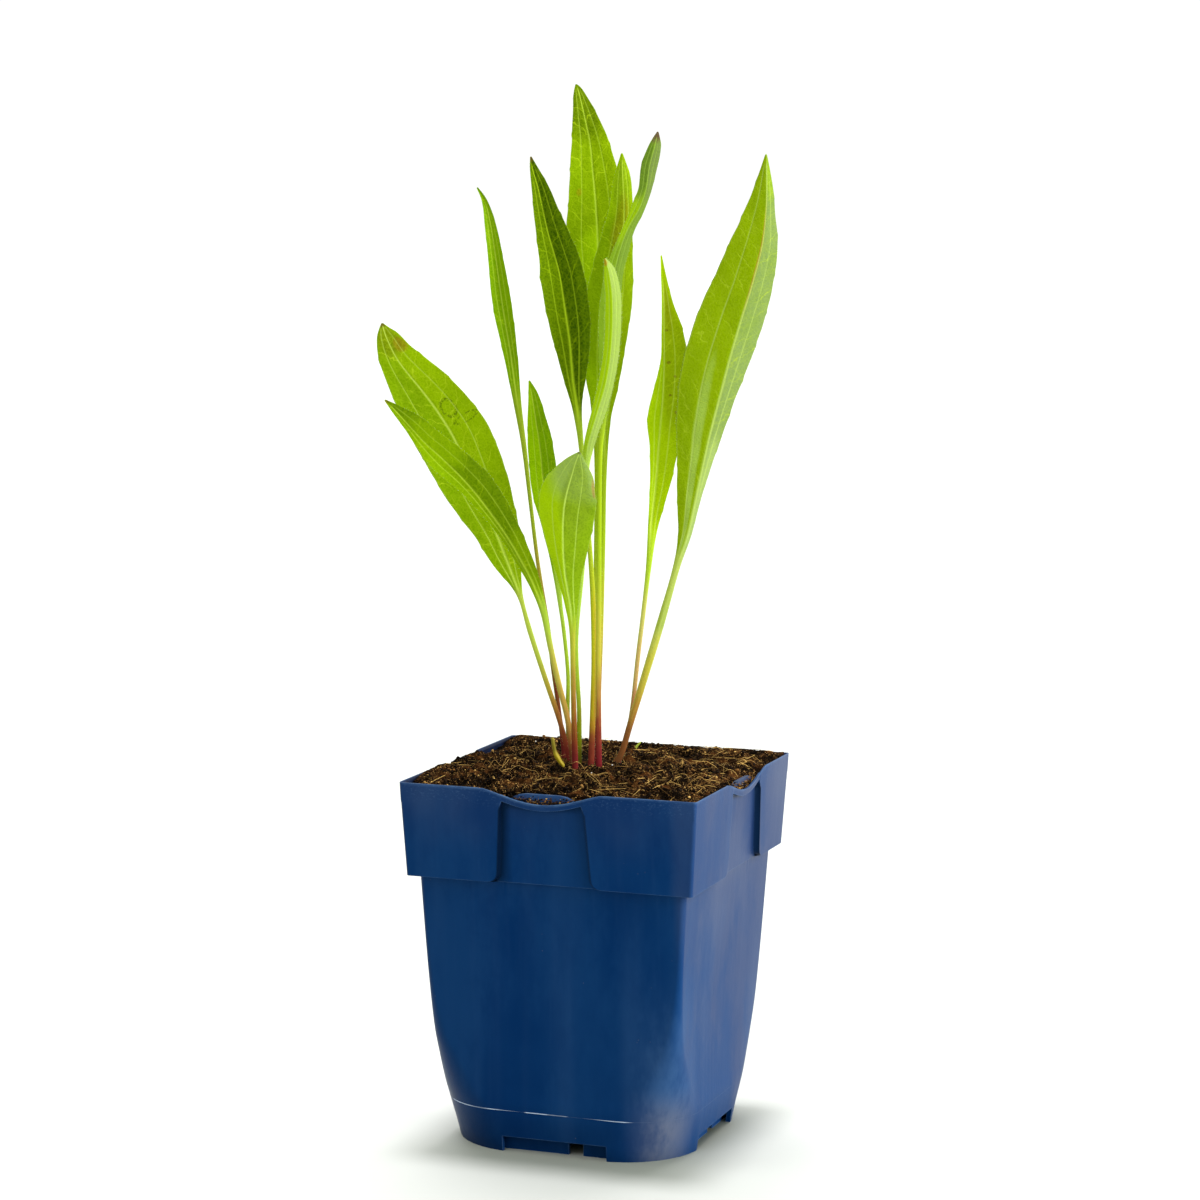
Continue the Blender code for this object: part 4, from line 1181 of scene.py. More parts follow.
@dataclass(frozen=True)
class LeafDown:
    """The fine hairs that fringe every leaf's margin, as one piece of small closed spikes."""

    thickness: float = 0.035

    def build(self) -> None:
        """Build all the hairs and dress them."""
        chance = random.Random(41)
        root, tip = (np.concatenate(ends) for ends in zip(*(leaf.hairs(chance) for leaf in LEAVES)))
        way = unit(tip - root)
        side = unit(np.cross(way, np.array([0.31, 0.62, 0.72])))
        other = np.cross(way, side)
        corners = [root + (side * math.cos(turn) + other * math.sin(turn)) * self.thickness * MM
                   for turn in (0.0, 2.0944, 4.1888)]
        points = np.stack((*corners, tip), axis=1)
        sides = np.array([[0, 1, 3], [1, 2, 3], [2, 0, 3], [0, 2, 1]])
        faces = np.arange(len(root))[:, None, None] * points.shape[1] + sides
        spikes = Scatter()
        spikes.add(points.reshape(-1, 3), faces.reshape(-1, 3),
                   np.repeat(np.random.default_rng(3).random(len(root)), 4))
        finish_piece(spikes.build("leaf_down"), Down().make(), "pale_leaf")


# ---- pot


@dataclass(frozen=True)
class Recess:
    """The left and right edges of one side's sunken middle, seen from outside."""

    top: tuple[float, float]
    bottom: tuple[float, float]

    @property
    def centre(self) -> float:
        """The middle between the edges at the rim."""
        return (self.top[0] + self.top[1]) / 2


@dataclass(frozen=True)
class Row:
    """One level of the pot's skin: a rounded square whose sides can be sunk in the middle."""

    half: float
    corner: float
    height: Callable[[float], float]
    middle_height: Callable[[float], float] | None = None
    middle_inset: float = 0.0
    recess_height: float = 102.5
    widen: float = 0.0


def level(height: float) -> Callable[[float], float]:
    """A height that is the same all the way round."""
    return lambda off_centre: height


@dataclass(frozen=True)
class NurseryPot:
    """The pot's skin, lofted ring by ring, with the ribs and openings of its foot."""

    height: float = 132.0
    rim_half: float = 55.0
    collar_bottom: float = 98.5
    collar_bottom_half: float = 53.0
    corner: float = 1.3
    wall: float = 1.1
    floor_top: float = 7.0
    floor_underside: float = 5.8
    foot_wall: float = 1.8
    recess_depth: float = 2.0
    rounding: float = 3.4
    dip: float = 4.7
    dip_reach: float = 22.5
    lip: float = 2.2
    lip_wall: float = 0.9
    pocket: float = 1.8
    tab_drop: float = 1.3
    bead: float = 1.0
    front: Recess = Recess((-17.0, 13.5), (-18.5, 16.0))
    side: Recess = Recess((-13.0, 19.5), (-12.5, 24.0))
    body: tuple[Place, ...] = (
        (0.0, 44.8, 28.5), (5.8, 45.4, 26.5), (15.4, 46.8, 24.0), (22.3, 46.6, 17.6),
        (33.3, 46.7, 11.0), (44.3, 46.8, 5.5), (66.3, 47.7, 2.2), (98.5, 49.6, 2.2),
    )
    corner_steps: int = 10
    shoulder: tuple[float, float] = (125.6, 126.6)
    hub: float = 10.0
    ribs: tuple[tuple[tuple[float, float], tuple[float, float]], ...] = (
        ((-30.0, -40.8), (4.0, -39.5)), ((9.5, -40.8), (30.0, -39.5)), ((-0.65, -40.1), (0.65, -9.5)),
    )
    notch: tuple[Place, Place] = ((-19.5, -46.8, -1.0), (19.5, -41.3, 5.6))
    drain: float = 3.5
    drains: tuple[tuple[float, float], ...] = ((25.0, 25.0), (27.0, -6.0))

    def rim_top(self, off_centre: float) -> float:
        """The rim's height at a distance from the recess's middle."""
        inside = 1.0 - (off_centre / self.dip_reach) ** 2
        return self.height - (self.dip * inside**1.5 if inside > 0 else 0.0)

    def places(self, recess: Recess, row: Row) -> list[tuple[float, bool]]:
        """Where the upright lines of points stand on one side.

        Args:
            recess: The side's recess.
            row: The row they are wanted for.

        Returns:
            Each place along the side, and whether it is in the sunken middle.
        """
        panel = self.height - self.collar_bottom - self.rounding
        down = min((self.height - row.recess_height) / panel, 1.0)
        below = max(self.rounding - (row.recess_height - self.collar_bottom), 0.0)
        flare = self.rounding - math.sqrt(max(self.rounding**2 - below**2, 0.0))
        left = recess.top[0] + (recess.bottom[0] - recess.top[0]) * down - flare - row.widen
        right = recess.top[1] + (recess.bottom[1] - recess.top[1]) * down + flare + row.widen
        outer = (0.0, 0.6, 1.8, 3.8, 6.3, 8.8)
        middle = [(left + right) / 2 + step for step in (-12, -10.5, -9, -6, -3, 0, 3, 6, 9, 10.5, 12)]
        middle = [left + 0.6, left + 1.6, *middle, right - 1.6, right - 0.6]
        return [*((left - step, False) for step in outer[::-1]), *((place, True) for place in middle),
                *((right + step, False) for step in outer)]

    def ring(self, row: Row) -> np.ndarray:
        """The points of one row, once round the pot and back to the first.

        Args:
            row: The row.

        Returns:
            The points in metres.
        """
        points = []
        squeeze = min((row.half - row.corner) / (self.collar_bottom_half - self.corner), 1.0)
        sides = (
            ((0, -1), (1, 0), self.front), ((1, 0), (0, 1), self.side),
            ((0, 1), (-1, 0), self.front), ((-1, 0), (0, -1), self.side),
        )
        for normal, along, recess in sides:
            for place, sunk in self.places(recess, row):
                inset = row.middle_inset if sunk else 0.0
                height = row.middle_height if sunk and row.middle_height else row.height
                out, step = row.half - inset, place * squeeze
                x, y = (n * out + a * step for n, a in zip(normal, along))
                points.append((x, y, height(abs(place - recess.centre))))
            for step in range(self.corner_steps + 1):
                angle = math.pi / 2 * step / self.corner_steps
                out, across = row.corner * math.cos(angle), row.corner * math.sin(angle)
                flat = row.half - row.corner
                x, y = ((n + a) * flat + n * out + a * across for n, a in zip(normal, along))
                points.append((x, y, row.height(self.dip_reach)))
        points.append(points[0])
        return np.array(points) * MM

    def body_size(self, height: float) -> tuple[float, float]:
        """The body's half width and corner radius at a height."""
        for lower, upper in zip(self.body, self.body[1:]):
            if height <= upper[0]:
                share = (height - lower[0]) / (upper[0] - lower[0])
                return tuple(a + (b - a) * share for a, b in zip(lower[1:], upper[1:]))
        return self.body[-1][1:]

    def body_row(self, height: float, inset: float = 0.0) -> Row:
        """A plain row of the body, moved inwards by inset."""
        half, corner = self.body_size(height)
        return Row(half - inset, corner - inset, level(height))

    def collar_half(self, height: float) -> float:
        """The collar's half width over its proud panels."""
        up = (height - self.collar_bottom) / (self.height - self.collar_bottom)
        return self.collar_bottom_half + (self.rim_half - self.collar_bottom_half) * up

    def collar_row(self, height: float, inset: float = 0.0) -> Row:
        """A row of the collar with its sunk middles, moved inwards by inset."""
        return Row(self.collar_half(height) - inset, max(self.corner - inset, 0.3), level(height),
                   middle_inset=self.recess_depth, recess_height=height, widen=inset * 0.65)

    def rim_row(self, half: float, height: Callable, middle_half: float, middle_height: Callable) -> Row:
        """A row close to the rim, where panels and middles have half widths and heights of their own."""
        corner = max(self.corner - (self.rim_half - half), 0.3)
        return Row(half, corner, height, middle_height, half - middle_half, self.height)

    def rim_rows(self) -> list[Row]:
        """The rim from under the lip, over its bow and pocket, to the inner edge.

        Returns:
            The rows in order.
        """
        edge, wall, top = self.rim_half, self.wall, self.rim_top
        lip_back, pocket_wall = edge - self.lip_wall, edge - self.recess_depth
        under, over = (self.collar_half(height) for height in self.shoulder)

        def below(drop: float) -> Callable[[float], float]:
            """A line that follows the rim's top a drop below it."""
            return lambda off_centre: top(off_centre) - drop

        def tab(off_centre: float) -> float:
            """The top of the tab behind the pocket, bowed down at both ends."""
            end = share_of(off_centre, 7.0, 14.5)
            return self.height - self.tab_drop - 2.6 * end * end * (3.0 - 2.0 * end)

        def tab_root(off_centre: float) -> float:
            """The lower edge of the worn bead along the tab."""
            return tab(off_centre) - self.bead

        lip_bottom, pocket_floor, bead = below(self.lip), below(self.pocket), below(self.bead)
        rows = (
            (under, level(self.shoulder[0]), under - self.recess_depth, lip_bottom),
            (over, level(self.shoulder[1]), over, lip_bottom),
            (self.collar_half(131.0), bead, self.collar_half(127.0), bead),
            (edge, top, edge, top),
            (edge - 0.2 * wall, top, lip_back, top),
            (edge - 0.4 * wall, top, lip_back, pocket_floor),
            (edge - 0.6 * wall, below(0.15), pocket_wall, pocket_floor),
            (edge - 0.8 * wall, below(0.4), pocket_wall, tab),
            (edge - wall, below(0.8), pocket_wall - wall, tab),
            (edge - wall - 0.05, bead, pocket_wall - wall - 0.05, tab_root),
        )
        return [self.rim_row(*row) for row in rows]

    def rows(self) -> list[Row]:
        """Every row, from the floor's underside, round the rim, to the floor's top.

        Returns:
            The rows in order.
        """
        table = smooth_through(self.body, [1, 3, 3, 4, 4, 4, 4])
        steps = (0.0, 0.25, 0.7, 1.3, 2.1, 3.4, 14.0, 26.0)
        ledge = self.collar_bottom + self.wall
        _, top_half, top_corner = self.body[-1]
        return [
            self.body_row(self.floor_underside, self.foot_wall),
            self.body_row(0.0, self.foot_wall),
            *(Row(half, corner, level(height)) for height, half, corner in table),
            *(self.collar_row(self.collar_bottom + step) for step in steps),
            *self.rim_rows(),
            self.collar_row(ledge, self.wall),
            Row(top_half - self.wall, top_corner - self.wall, level(ledge)),
            *(self.body_row(height, self.wall) for height, _, _ in self.body[-2:1:-1]),
            self.body_row(self.floor_top, self.wall),
        ]

    def build(self) -> None:
        """Build the pot, cut its openings and dress it."""
        rings = [self.ring(row) for row in self.rows()]
        low, high = (np.tile((0.0, 0.0, end * MM), (len(rings[0]), 1))
                     for end in (self.floor_underside, self.floor_top))
        rings = np.array([low, *rings, high])
        pot = sheet_from_grid("nursery_pot", rings)
        for name, values in self._marks(rings).items():
            store_values(pot, name, values)
        weld(pot)
        apply_modifier(pot, "BEVEL", width=0.00028, segments=2, limit_method="ANGLE",
                       angle_limit=math.radians(38), harden_normals=False)
        self._add_ribs(pot)
        self._cut_openings(pot)
        smooth_by_angle(pot, 32.0)
        finish_piece(pot, PotPlastic().make(), "pot", "pot")

    def _marks(self, rings: np.ndarray) -> dict[str, np.ndarray]:
        """Where the skin is darkened inside the pot, partly dirt and partly painted shade, where painted
        shade lies in the grooves and under the lip, and where the rim is worn.

        Args:
            rings: The skin's rings, its two poles among them.

        Returns:
            Rows by columns of numbers from 0 to 1, by name.
        """
        inside, groove, rim = (np.zeros(rings.shape[:2]) for _ in range(3))
        # The inner walls are darkened, partly dirt and partly painted shade.
        inside[-len(self.body) - 5:] = 1.0
        a_side = (rings.shape[1] - 1) // 4
        rows = self.rows()
        first = next(index for index, row in enumerate(rows, 1) if row.half >= self.rim_half)
        # groove: painted shade on the recesses' step walls.
        edges = (5, 6, 7, 19, 20, 21)
        shares = ((1.0, 1.0, 0.7, 0.0, 0.5, 0.9), (0.1, 0.1, 0.0, 0.45, 0.8, 1.0))
        for index, row in enumerate(rows, 1):
            sunk = abs(row.middle_inset - self.recess_depth) < 0.01
            step = index - first
            for side in range(4):
                start = side * a_side
                for column, share in zip(edges, shares[side % 2]):
                    groove[index, start + column] = share * sunk
                middle = slice(start + edges[1], start + edges[-1])
                # A painted shadow under the lip, over the sunk middles.
                if row.middle_height and step < 0:
                    groove[index, middle] = 0.7 if sunk else 0.0
                # The pockets behind the lips are darkened, partly dirt and partly painted shade.
                if 0 <= step < 6:
                    inside[index, middle] = (0.0, 0.0, 0.6, 0.6, 0.05, 0.05)[step]
                    rim[index, middle] = (1.0, 1.0, 0.0, 0.0, 0.35, 0.5)[step]
        rim[first:first + 2] = 1.0
        right = rings[:, :, 0] / MM
        rim[right < -52.5] *= 0.25
        rim[right > 52.5] *= 0.35
        # The right-hand tab is darkened: partly dirt and partly painted shade over its lit top.
        tab = right[first + 3:first + 7]
        inside[first + 3:first + 7][(tab > 50.5) & (tab < 54.5)] = 0.65
        return {"inside": inside, "groove": groove, "rim": rim}

    def _block(self, low: Sequence[float], high: Sequence[float], quarter: int) -> Piece:
        """A block between two corners, after quarter turns about the upright axis.

        Args:
            low: The lowest corner.
            high: The highest corner.
            quarter: How many quarter turns it gets.

        Returns:
            The block.
        """
        clear_selection()
        bpy.ops.mesh.primitive_cube_add(size=1.0)
        block = bpy.context.active_object
        size = (Vector(high) - Vector(low)) * MM
        middle = (Vector(high) + Vector(low)) / 2 * MM
        block.data.transform(Matrix.Rotation(math.pi / 2 * quarter, 4, "Z") @ Matrix.Translation(middle)
                             @ Matrix.Diagonal((*size, 1.0)))
        return block

    @staticmethod
    def _merge(pot: Piece, tool: Piece, operation: str) -> None:
        """Join a tool to the pot by "UNION", or cut it away by "DIFFERENCE", and remove the tool."""
        apply_modifier(pot, "BOOLEAN", operation=operation, solver="EXACT", object=tool)
        bpy.data.objects.remove(tool, do_unlink=True)

    @staticmethod
    def _drum(place: tuple[float, float], radius: float, bottom: float, top: float, sides: int) -> Piece:
        """An upright cylinder.

        Args:
            place: Its axis.
            radius: Its radius.
            bottom: The height of its lower end.
            top: The height of its upper end.
            sides: How many sides it has.

        Returns:
            The cylinder.
        """
        clear_selection()
        bpy.ops.mesh.primitive_cylinder_add(vertices=sides, radius=radius * MM, depth=(top - bottom) * MM)
        drum = bpy.context.active_object
        drum.data.transform(Matrix.Translation(Vector((*place, (top + bottom) / 2)) * MM))
        return drum

    def _add_ribs(self, pot: Piece) -> None:
        """Join the hub, the inner ring's bars and the ribs to the pot's underside.

        Args:
            pot: The pot.
        """
        top = self.floor_underside + 0.5
        tools = [self._drum((0.0, 0.0), self.hub, 0.0, top, 40)]
        for quarter in range(4):
            tools += [self._block((*low, 0.0), (*high, top), quarter) for low, high in self.ribs]
        for tool in tools:
            self._merge(pot, tool, "UNION")

    def _cut_openings(self, pot: Piece) -> None:
        """Cut the foot's notches and the floor's drain holes.

        Args:
            pot: The pot.
        """
        for quarter in range(4):
            self._merge(pot, self._block(*self.notch, quarter), "DIFFERENCE")
            for x, y in self.drains:
                for _ in range(quarter):
                    x, y = -y, x
                hole = self._drum((x, y), self.drain, self.floor_underside - 1.0, self.floor_top + 1.0, 24)
                self._merge(pot, hole, "DIFFERENCE")


@dataclass(frozen=True)
class PartingLine:
    """The thin pale flash that the mould left low on the pot, broken here and there."""

    height: float = 15.4
    proud: float = 0.12
    tall: float = 0.34
    tone: Tone = (0.4, 0.5, 0.64)
    unworn: Tone = (0.006, 0.026, 0.085)

    def build(self, pot: NurseryPot) -> None:
        """Build the flash and dress it.

        Args:
            pot: The pot it runs round.
        """
        base = pot.ring(pot.body_row(self.height))
        worn = [noise.noise(Vector(point) * 70.0 + Vector((0.0, 4.0, 0.0))) for point in base]
        keep = np.where((np.array(worn) > -0.32) & (base[:, 0] < 0.029), 1.0, 0.15)
        keep[-1] = keep[0]
        out = unit(base[:, :2])
        rings = []
        for angle in np.linspace(0, 2 * math.pi, 7):
            ring = base.copy()
            ring[:, :2] += out * (math.cos(angle) * self.proud * keep * MM)[:, None]
            ring[:, 2] += math.sin(angle) * self.tall / 2 * keep * MM
            rings.append(ring)
        line = sheet_from_grid("parting_line", np.array(rings))
        store_values(line, "bare", np.tile(keep, (len(rings), 1)))
        weld(line)
        smooth_by_angle(line, 60.0)
        graph = Graph("worn_flash")
        bare = graph.span(graph.noise(graph.place(), 90.0, 2.0), 0.34, 0.48, 0.4, 1.0)
        tone = graph.over(self.unworn, self.tone, bare, graph.value("bare"))
        graph.set(Base_Color=tone, Roughness=0.5, Specular_IOR_Level=0.2)
        finish_piece(line, graph.material, "pot")


# ---- soil


@dataclass(frozen=True)
class PottingMix:
    """The soil's visible top with its crumbs, coir fibres and grit."""

    pot: NurseryPot
    edge: float = 130.0
    crown: float = 133.5
    half: float = 53.3
    sunk_half: float = 51.5
    skirt: float = 7.0
    back_level: float = 132.7
    back_slope: float = 0.12
    heap: tuple[float, float, float, float] = (-22.0, 42.0, 9.0, 2.6)
    cells: int = 190
    fibres: int = 5200
    crumbs: int = 8200
    grains: int = 11
    stalk_gap: float = 1.6
    pocket_crumbs: int = 8
    pocket_fibres: int = 14
    threads_below: float = 0.03
    litter_below: float = 0.945
    straws_below: float = 0.9885
    chance: random.Random = field(default_factory=lambda: random.Random(7), repr=False)

    def limit(self, place: float, recess: Recess) -> float:
        """How far the soil reaches towards one side.

        Args:
            place: The place along that side.
            recess: The side's recess.

        Returns:
            The distance from the middle.
        """
        left, right = recess.top[0] - 1.5, recess.top[1] + 1.5
        blend = share_of(place, left, left + 1.2) * share_of(place, right, right - 1.2)
        return self.half + (self.sunk_half - self.half) * blend

    def height(self, x: float, y: float) -> float:
        """The soil's height, lumps and hollows included.

        Args:
            x: The place to the right of the middle.
            y: The place behind the middle.

        Returns:
            The height above the pot's base.
        """
        share = min(max(abs(x), abs(y)) / self.half, 1.0)
        mound = (self.crown - self.edge) * (1.0 - share * share)
        heap_x, heap_y, heap_width, heap_rise = self.heap
        heap = heap_rise * math.exp(-((x - heap_x) ** 2 + (y - heap_y) ** 2) / heap_width**2)
        near = Vector((x, y, 4.0))
        clods = abs(noise.noise(near / 5.0)) * 4.2
        lumps = noise.noise(near / 1.9) * 0.9 + noise.noise(near / 0.8) * 0.45
        hollow = max(noise.noise(near / 12.0 + Vector((3.1, 7.7, 0.0))), 0.0) * 4.4
        back = share_of(y, 22.0, 50.0)
        left = share_of(-x, 38.0, 48.0) * max(1.0 - ((y + 18.0) / 33.0) ** 2, 0.0) ** 0.5
        banked = 2.2 * back * back * (3.0 - 2.0 * back) + 3.0 * left
        behind = share_of(y, 4.0, 14.0) * share_of(y, 50.0, 41.0)
        sunk = share_of(-x, 42.0, 51.0) * (1.7 * behind + share_of(-y, 36.0, 46.0))
        crown = 1.6 * math.exp(-((x + 2.0) ** 2 + (y - 1.0) ** 2) / 80.0)
        rough = (clods + lumps - hollow - 0.3) * (1.0 - 0.75 * share**8) - sunk - crown
        top = max(self.edge + mound + heap + rough + banked, self.edge + mound * 0.6 - 1.2 - sunk)
        return min(top, self.back_level + self.back_slope * (self.half - y)) if y > 15.0 else top

    def build(self) -> None:
        """Build the soil's pieces in order and dress them."""
        earth = Earth().make()
        buried = frame["nodes"]["potting_soil"].data.materials
        buried.clear()
        buried.append(earth)
        self._surface(earth)
        self._crumbs()
        self._fibres()
        self._grit()

    def _surface(self, earth: bpy.types.Material) -> None:
        """The lumpy top, with a skirt down the pot's wall.

        Args:
            earth: The soil's material.
        """
        count = self.cells + 1
        points = np.zeros((count, count, 3))
        steps = np.linspace(-1.0, 1.0, count)
        for row, b in enumerate(steps):
            for column, a in enumerate(steps):
                x, y = a * self.half, b * self.half
                if abs(b) > 0.5:
                    y = b * self.limit(x if b < 0 else -x, self.pot.front)
                if abs(a) > 0.5:
                    x = a * self.limit(y if a > 0 else -y, self.pot.side)
                points[row, column] = (x, y, self.height(x, y))
        heights = points[:, :, 2]
        around = sum(np.roll(heights, (a, b), (0, 1)) for a in (-4, 0, 4) for b in (-4, 0, 4)) / 9
        crown = np.hypot(points[:, :, 0] + 1.0, points[:, :, 1] - 1.0) / 12.0
        thing = sheet_from_grid("soil_surface", points * MM)
        # deep marks painted shade: in hollows below the heights around them, and round the crown.
        store_values(thing, "deep", held((around - heights) / 0.7 + 0.75 * np.exp(-(crown**2))))
        pick(thing)
        bpy.ops.object.mode_set(mode="EDIT")
        bpy.ops.mesh.select_all(action="DESELECT")
        bpy.ops.mesh.select_mode(type="EDGE")
        bpy.ops.mesh.select_non_manifold()
        bpy.ops.mesh.extrude_edges_move(TRANSFORM_OT_translate={"value": (0.0, 0.0, -self.skirt * MM)})
        bpy.ops.mesh.edge_face_add()
        bpy.ops.object.mode_set(mode="OBJECT")
        for vertex in thing.data.vertices[len(points) ** 2:]:
            vertex.co.z = (self.edge - self.skirt) * MM
        weld(thing)
        smooth_by_angle(thing, 80.0)
        finish_piece(thing, earth, "potting_soil")

    def _spot(self, margin: float, bunched: float = 0.0) -> tuple[float, float]:
        """A random place on the soil.

        Args:
            margin: How far it stays from the pot's wall.
            bunched: How strongly such places gather in drifts, from 0 to 1.

        Returns:
            The place to the right of the middle and behind it.
        """
        reach = self.sunk_half - margin
        while True:
            x, y = self.chance.uniform(-reach, reach), self.chance.uniform(-reach, reach)
            drift = 0.5 + 0.9 * noise.noise(Vector((x / 15.0, y / 15.0, 8.0))) + 0.006 * x
            bare = 0.8 * math.exp(-((x + 1.0) ** 2 + (y - 1.0) ** 2) / 110.0)
            if self.chance.random() > max(bunched * (1.0 - drift), bare):
                return x, y

    def _pocket_spot(self) -> Place:
        """A random place in the label pocket of the front, or else of the right or left.

        Returns:
            The place in millimetres.
        """
        pot, chance = self.pot, self.chance
        along = max(min(chance.gauss(0.0, 8.0), 14.0), -14.0)
        back = chance.random() ** 0.7
        out = pot.rim_half - 1.0 - 1.15 * back
        height = pot.rim_top(abs(along)) - 1.2 + (0.6 + 3.4 * back) * chance.random() ** 1.25
        side = chance.random()
        if side < 0.4:
            return pot.front.centre + along, -out, height
        if side < 0.88:
            return out, pot.side.centre + along, height
        return -out, -pot.side.centre + along, height

    def _crumbs(self) -> None:
        """Loose crumbs of peat, copied from a few lumps."""
        chance = self.chance
        lumps = [self._lump(seed) for seed in range(5)]
        loose = Scatter()
        for index in range(self.crumbs):
            shape, sides = chance.choice(lumps)
            x, y = self._spot(1.5)
            size = 0.1 + 0.62 * chance.random() ** 6
            height = self.height(x, y) + size * 0.15
            if index % self.pocket_crumbs == 0:
                x, y, height = self._pocket_spot()
                size = chance.uniform(0.14, 0.42)
            angle = chance.uniform(0, 6.28)
            turn = Matrix.Rotation(angle, 3, Vector((chance.random(), chance.random(), 1)).normalized())
            placed = shape @ np.array(turn).T * size + np.array([x, y, height])
            loose.add(placed * MM, sides, 0.02 + 0.88 * chance.random() ** (1.9 if size < 0.25 else 5.0))
        finish_piece(loose.build("peat_crumbs"), Coir().make(), "potting_soil")

    def _lump(self, seed: int) -> tuple[np.ndarray, np.ndarray]:
        """An uneven lump about a unit in radius, from an icosahedron.

        Args:
            seed: The lump's number.

        Returns:
            Its vertices and its faces.
        """
        clear_selection()
        bpy.ops.mesh.primitive_ico_sphere_add(subdivisions=1, radius=1.0)
        ball = bpy.context.active_object
        stretch = np.array([self.chance.uniform(0.7, 1.3) for _ in range(3)])
        points = np.array([vertex.co for vertex in ball.data.vertices])
        shift = Vector((seed * 9.0, 0, 0))
        bulge = np.array([1.0 + 0.85 * noise.noise(Vector(point) * 1.9 + shift) for point in points])
        faces = np.array([polygon.vertices[:] for polygon in ball.data.polygons])
        bpy.data.objects.remove(ball, do_unlink=True)
        return points * bulge[:, None] * stretch, faces

    def _fibres(self) -> None:
        """Coir fibres: fine threads, short litter, stiff golden straws, arching loops and pocket litter."""
        chance = self.chance
        loose = Scatter()
        stalks = np.array([fan_to_world(*leaf.stalk[1][:3])[:2] / MM for leaf in LEAVES])
        for index in range(self.fibres):
            kind = chance.random()
            if index % self.pocket_fibres == 0:
                path = self._straw(self._pocket_spot(), chance.uniform(1.2, 5.0), 0.12, 4)
                radius, shade = chance.uniform(0.05, 0.09), chance.uniform(0.25, 0.8)
            elif kind < self.threads_below:
                path = self._thread(chance.randint(5, 10), chance.random() ** 3 * 1.2)
                radius, shade = chance.uniform(0.04, 0.07), min(max(chance.gauss(0.35, 0.16), 0.05), 0.8)
            elif kind < self.litter_below:
                x, y = self._spot(1.2, 0.8)
                start = (x, y, self.height(x, y) + chance.uniform(-0.15, 0.3))
                path = self._straw(start, 0.6 + 2.4 * chance.random() ** 2.0, 0.6, 3)
                radius, shade = chance.uniform(0.035, 0.085), 0.02 + 0.96 * chance.random() ** 1.4
            elif kind < self.straws_below:
                x, y = self._spot(2.0, 0.99)
                start = (x, y, self.height(x, y) + chance.uniform(0.1, 0.9))
                path = self._straw(start, 3.2 + 8.5 * chance.random() ** 1.6, 0.24, 6)
                radius, shade = chance.uniform(0.055, 0.105), min(max(chance.gauss(0.8, 0.2), 0.3), 1.0)
            else:
                path = self._thread(chance.randint(12, 18), chance.uniform(1.5, 5.0))
                radius, shade = chance.uniform(0.05, 0.09), chance.uniform(0.6, 1.0)
            gaps = np.linalg.norm(path[:, None, :2] - stalks, axis=2)
            if len(path) > 2 and gaps.min() >= self.stalk_gap:
                points, faces = self._tube(path, radius)
                loose.add(points * MM, faces, shade)
        finish_piece(loose.build("coir_fibres"), Coir().make(), "potting_soil")

    def _straw(self, start: Place, length: float, tilt: float, count: int) -> np.ndarray:
        """A stiff, slightly bent straw that lies on the soil from end to end or pokes out of it.

        Args:
            start: Its middle.
            length: Its length.
            tilt: How far it may tilt, in radians of spread.
            count: How many points it has.

        Returns:
            Its points in millimetres.
        """
        chance = self.chance
        heading = chance.uniform(0.0, 2.0 * math.pi)
        rise = chance.gauss(0.0, tilt * (0.25 if start[1] > 22.0 else 1.0))
        if start[1] < 12.0 and start[0] > -34.0 and start[2] > self.edge and chance.random() < 0.1:
            rise += chance.uniform(0.3, 1.0)
        run = np.array([math.cos(heading), math.sin(heading)]) * length * math.cos(rise) / 2
        slope = 0.0
        if length > 3.0 and start[2] > self.edge:
            ahead, behind = np.array(start[:2]) + run, np.array(start[:2]) - run
            slope = (self.height(*ahead) - self.height(*behind)) / 2
        way = np.array([*run, math.sin(rise) * length / 2 + slope])
        side = np.array([-math.sin(heading), math.cos(heading), chance.uniform(-0.2, 0.6)])
        bow = chance.gauss(0.0, 0.045) * length
        share = np.linspace(-1.0, 1.0, count)[:, None]
        path = np.array(start) + way * share + side * bow * (1.0 - share * share)
        reach = self.sunk_half + (2.6 if abs(start[0]) > 52.5 or abs(start[1]) > 52.5 else -0.5)
        return path[np.max(np.abs(path[:, :2]), axis=1) < reach]

    def _thread(self, count: int, arch: float) -> np.ndarray:
        """A wandering thread over the soil, arched up in its middle.

        Args:
            count: How many points it has.
            arch: How high its middle rises.

        Returns:
            Its points in millimetres.
        """
        chance = self.chance
        x, y = self._spot(2.5)
        heading = chance.uniform(0, 2 * math.pi)
        bend = chance.gauss(0.0, 0.09)
        step = chance.uniform(0.5, 1.0)
        skew = chance.uniform(0.7, 1.6)
        path = []
        for index in range(count):
            share = index / (count - 1)
            sunk = 0.5 if index in (0, count - 1) else 0.0
            rise = arch * max(share_of(y, 30.0, 5.0), 0.08) * max(share_of(x, -48.0, -38.0), 0.12)
            height = self.height(x, y) + 0.08 + rise * math.sin(math.pi * share**skew) - sunk
            path.append((x, y, height))
            bend = (bend + chance.gauss(0.0, 0.05)) * 0.97
            heading += bend
            x += math.cos(heading) * step
            y += math.sin(heading) * step
            if max(abs(x), abs(y)) > self.sunk_half - 0.6:
                break
        table = np.array(path)
        if len(table) > 3:
            table[1:-1, 2] = (table[:-2, 2] + 2 * table[1:-1, 2] + table[2:, 2]) / 4
        return table

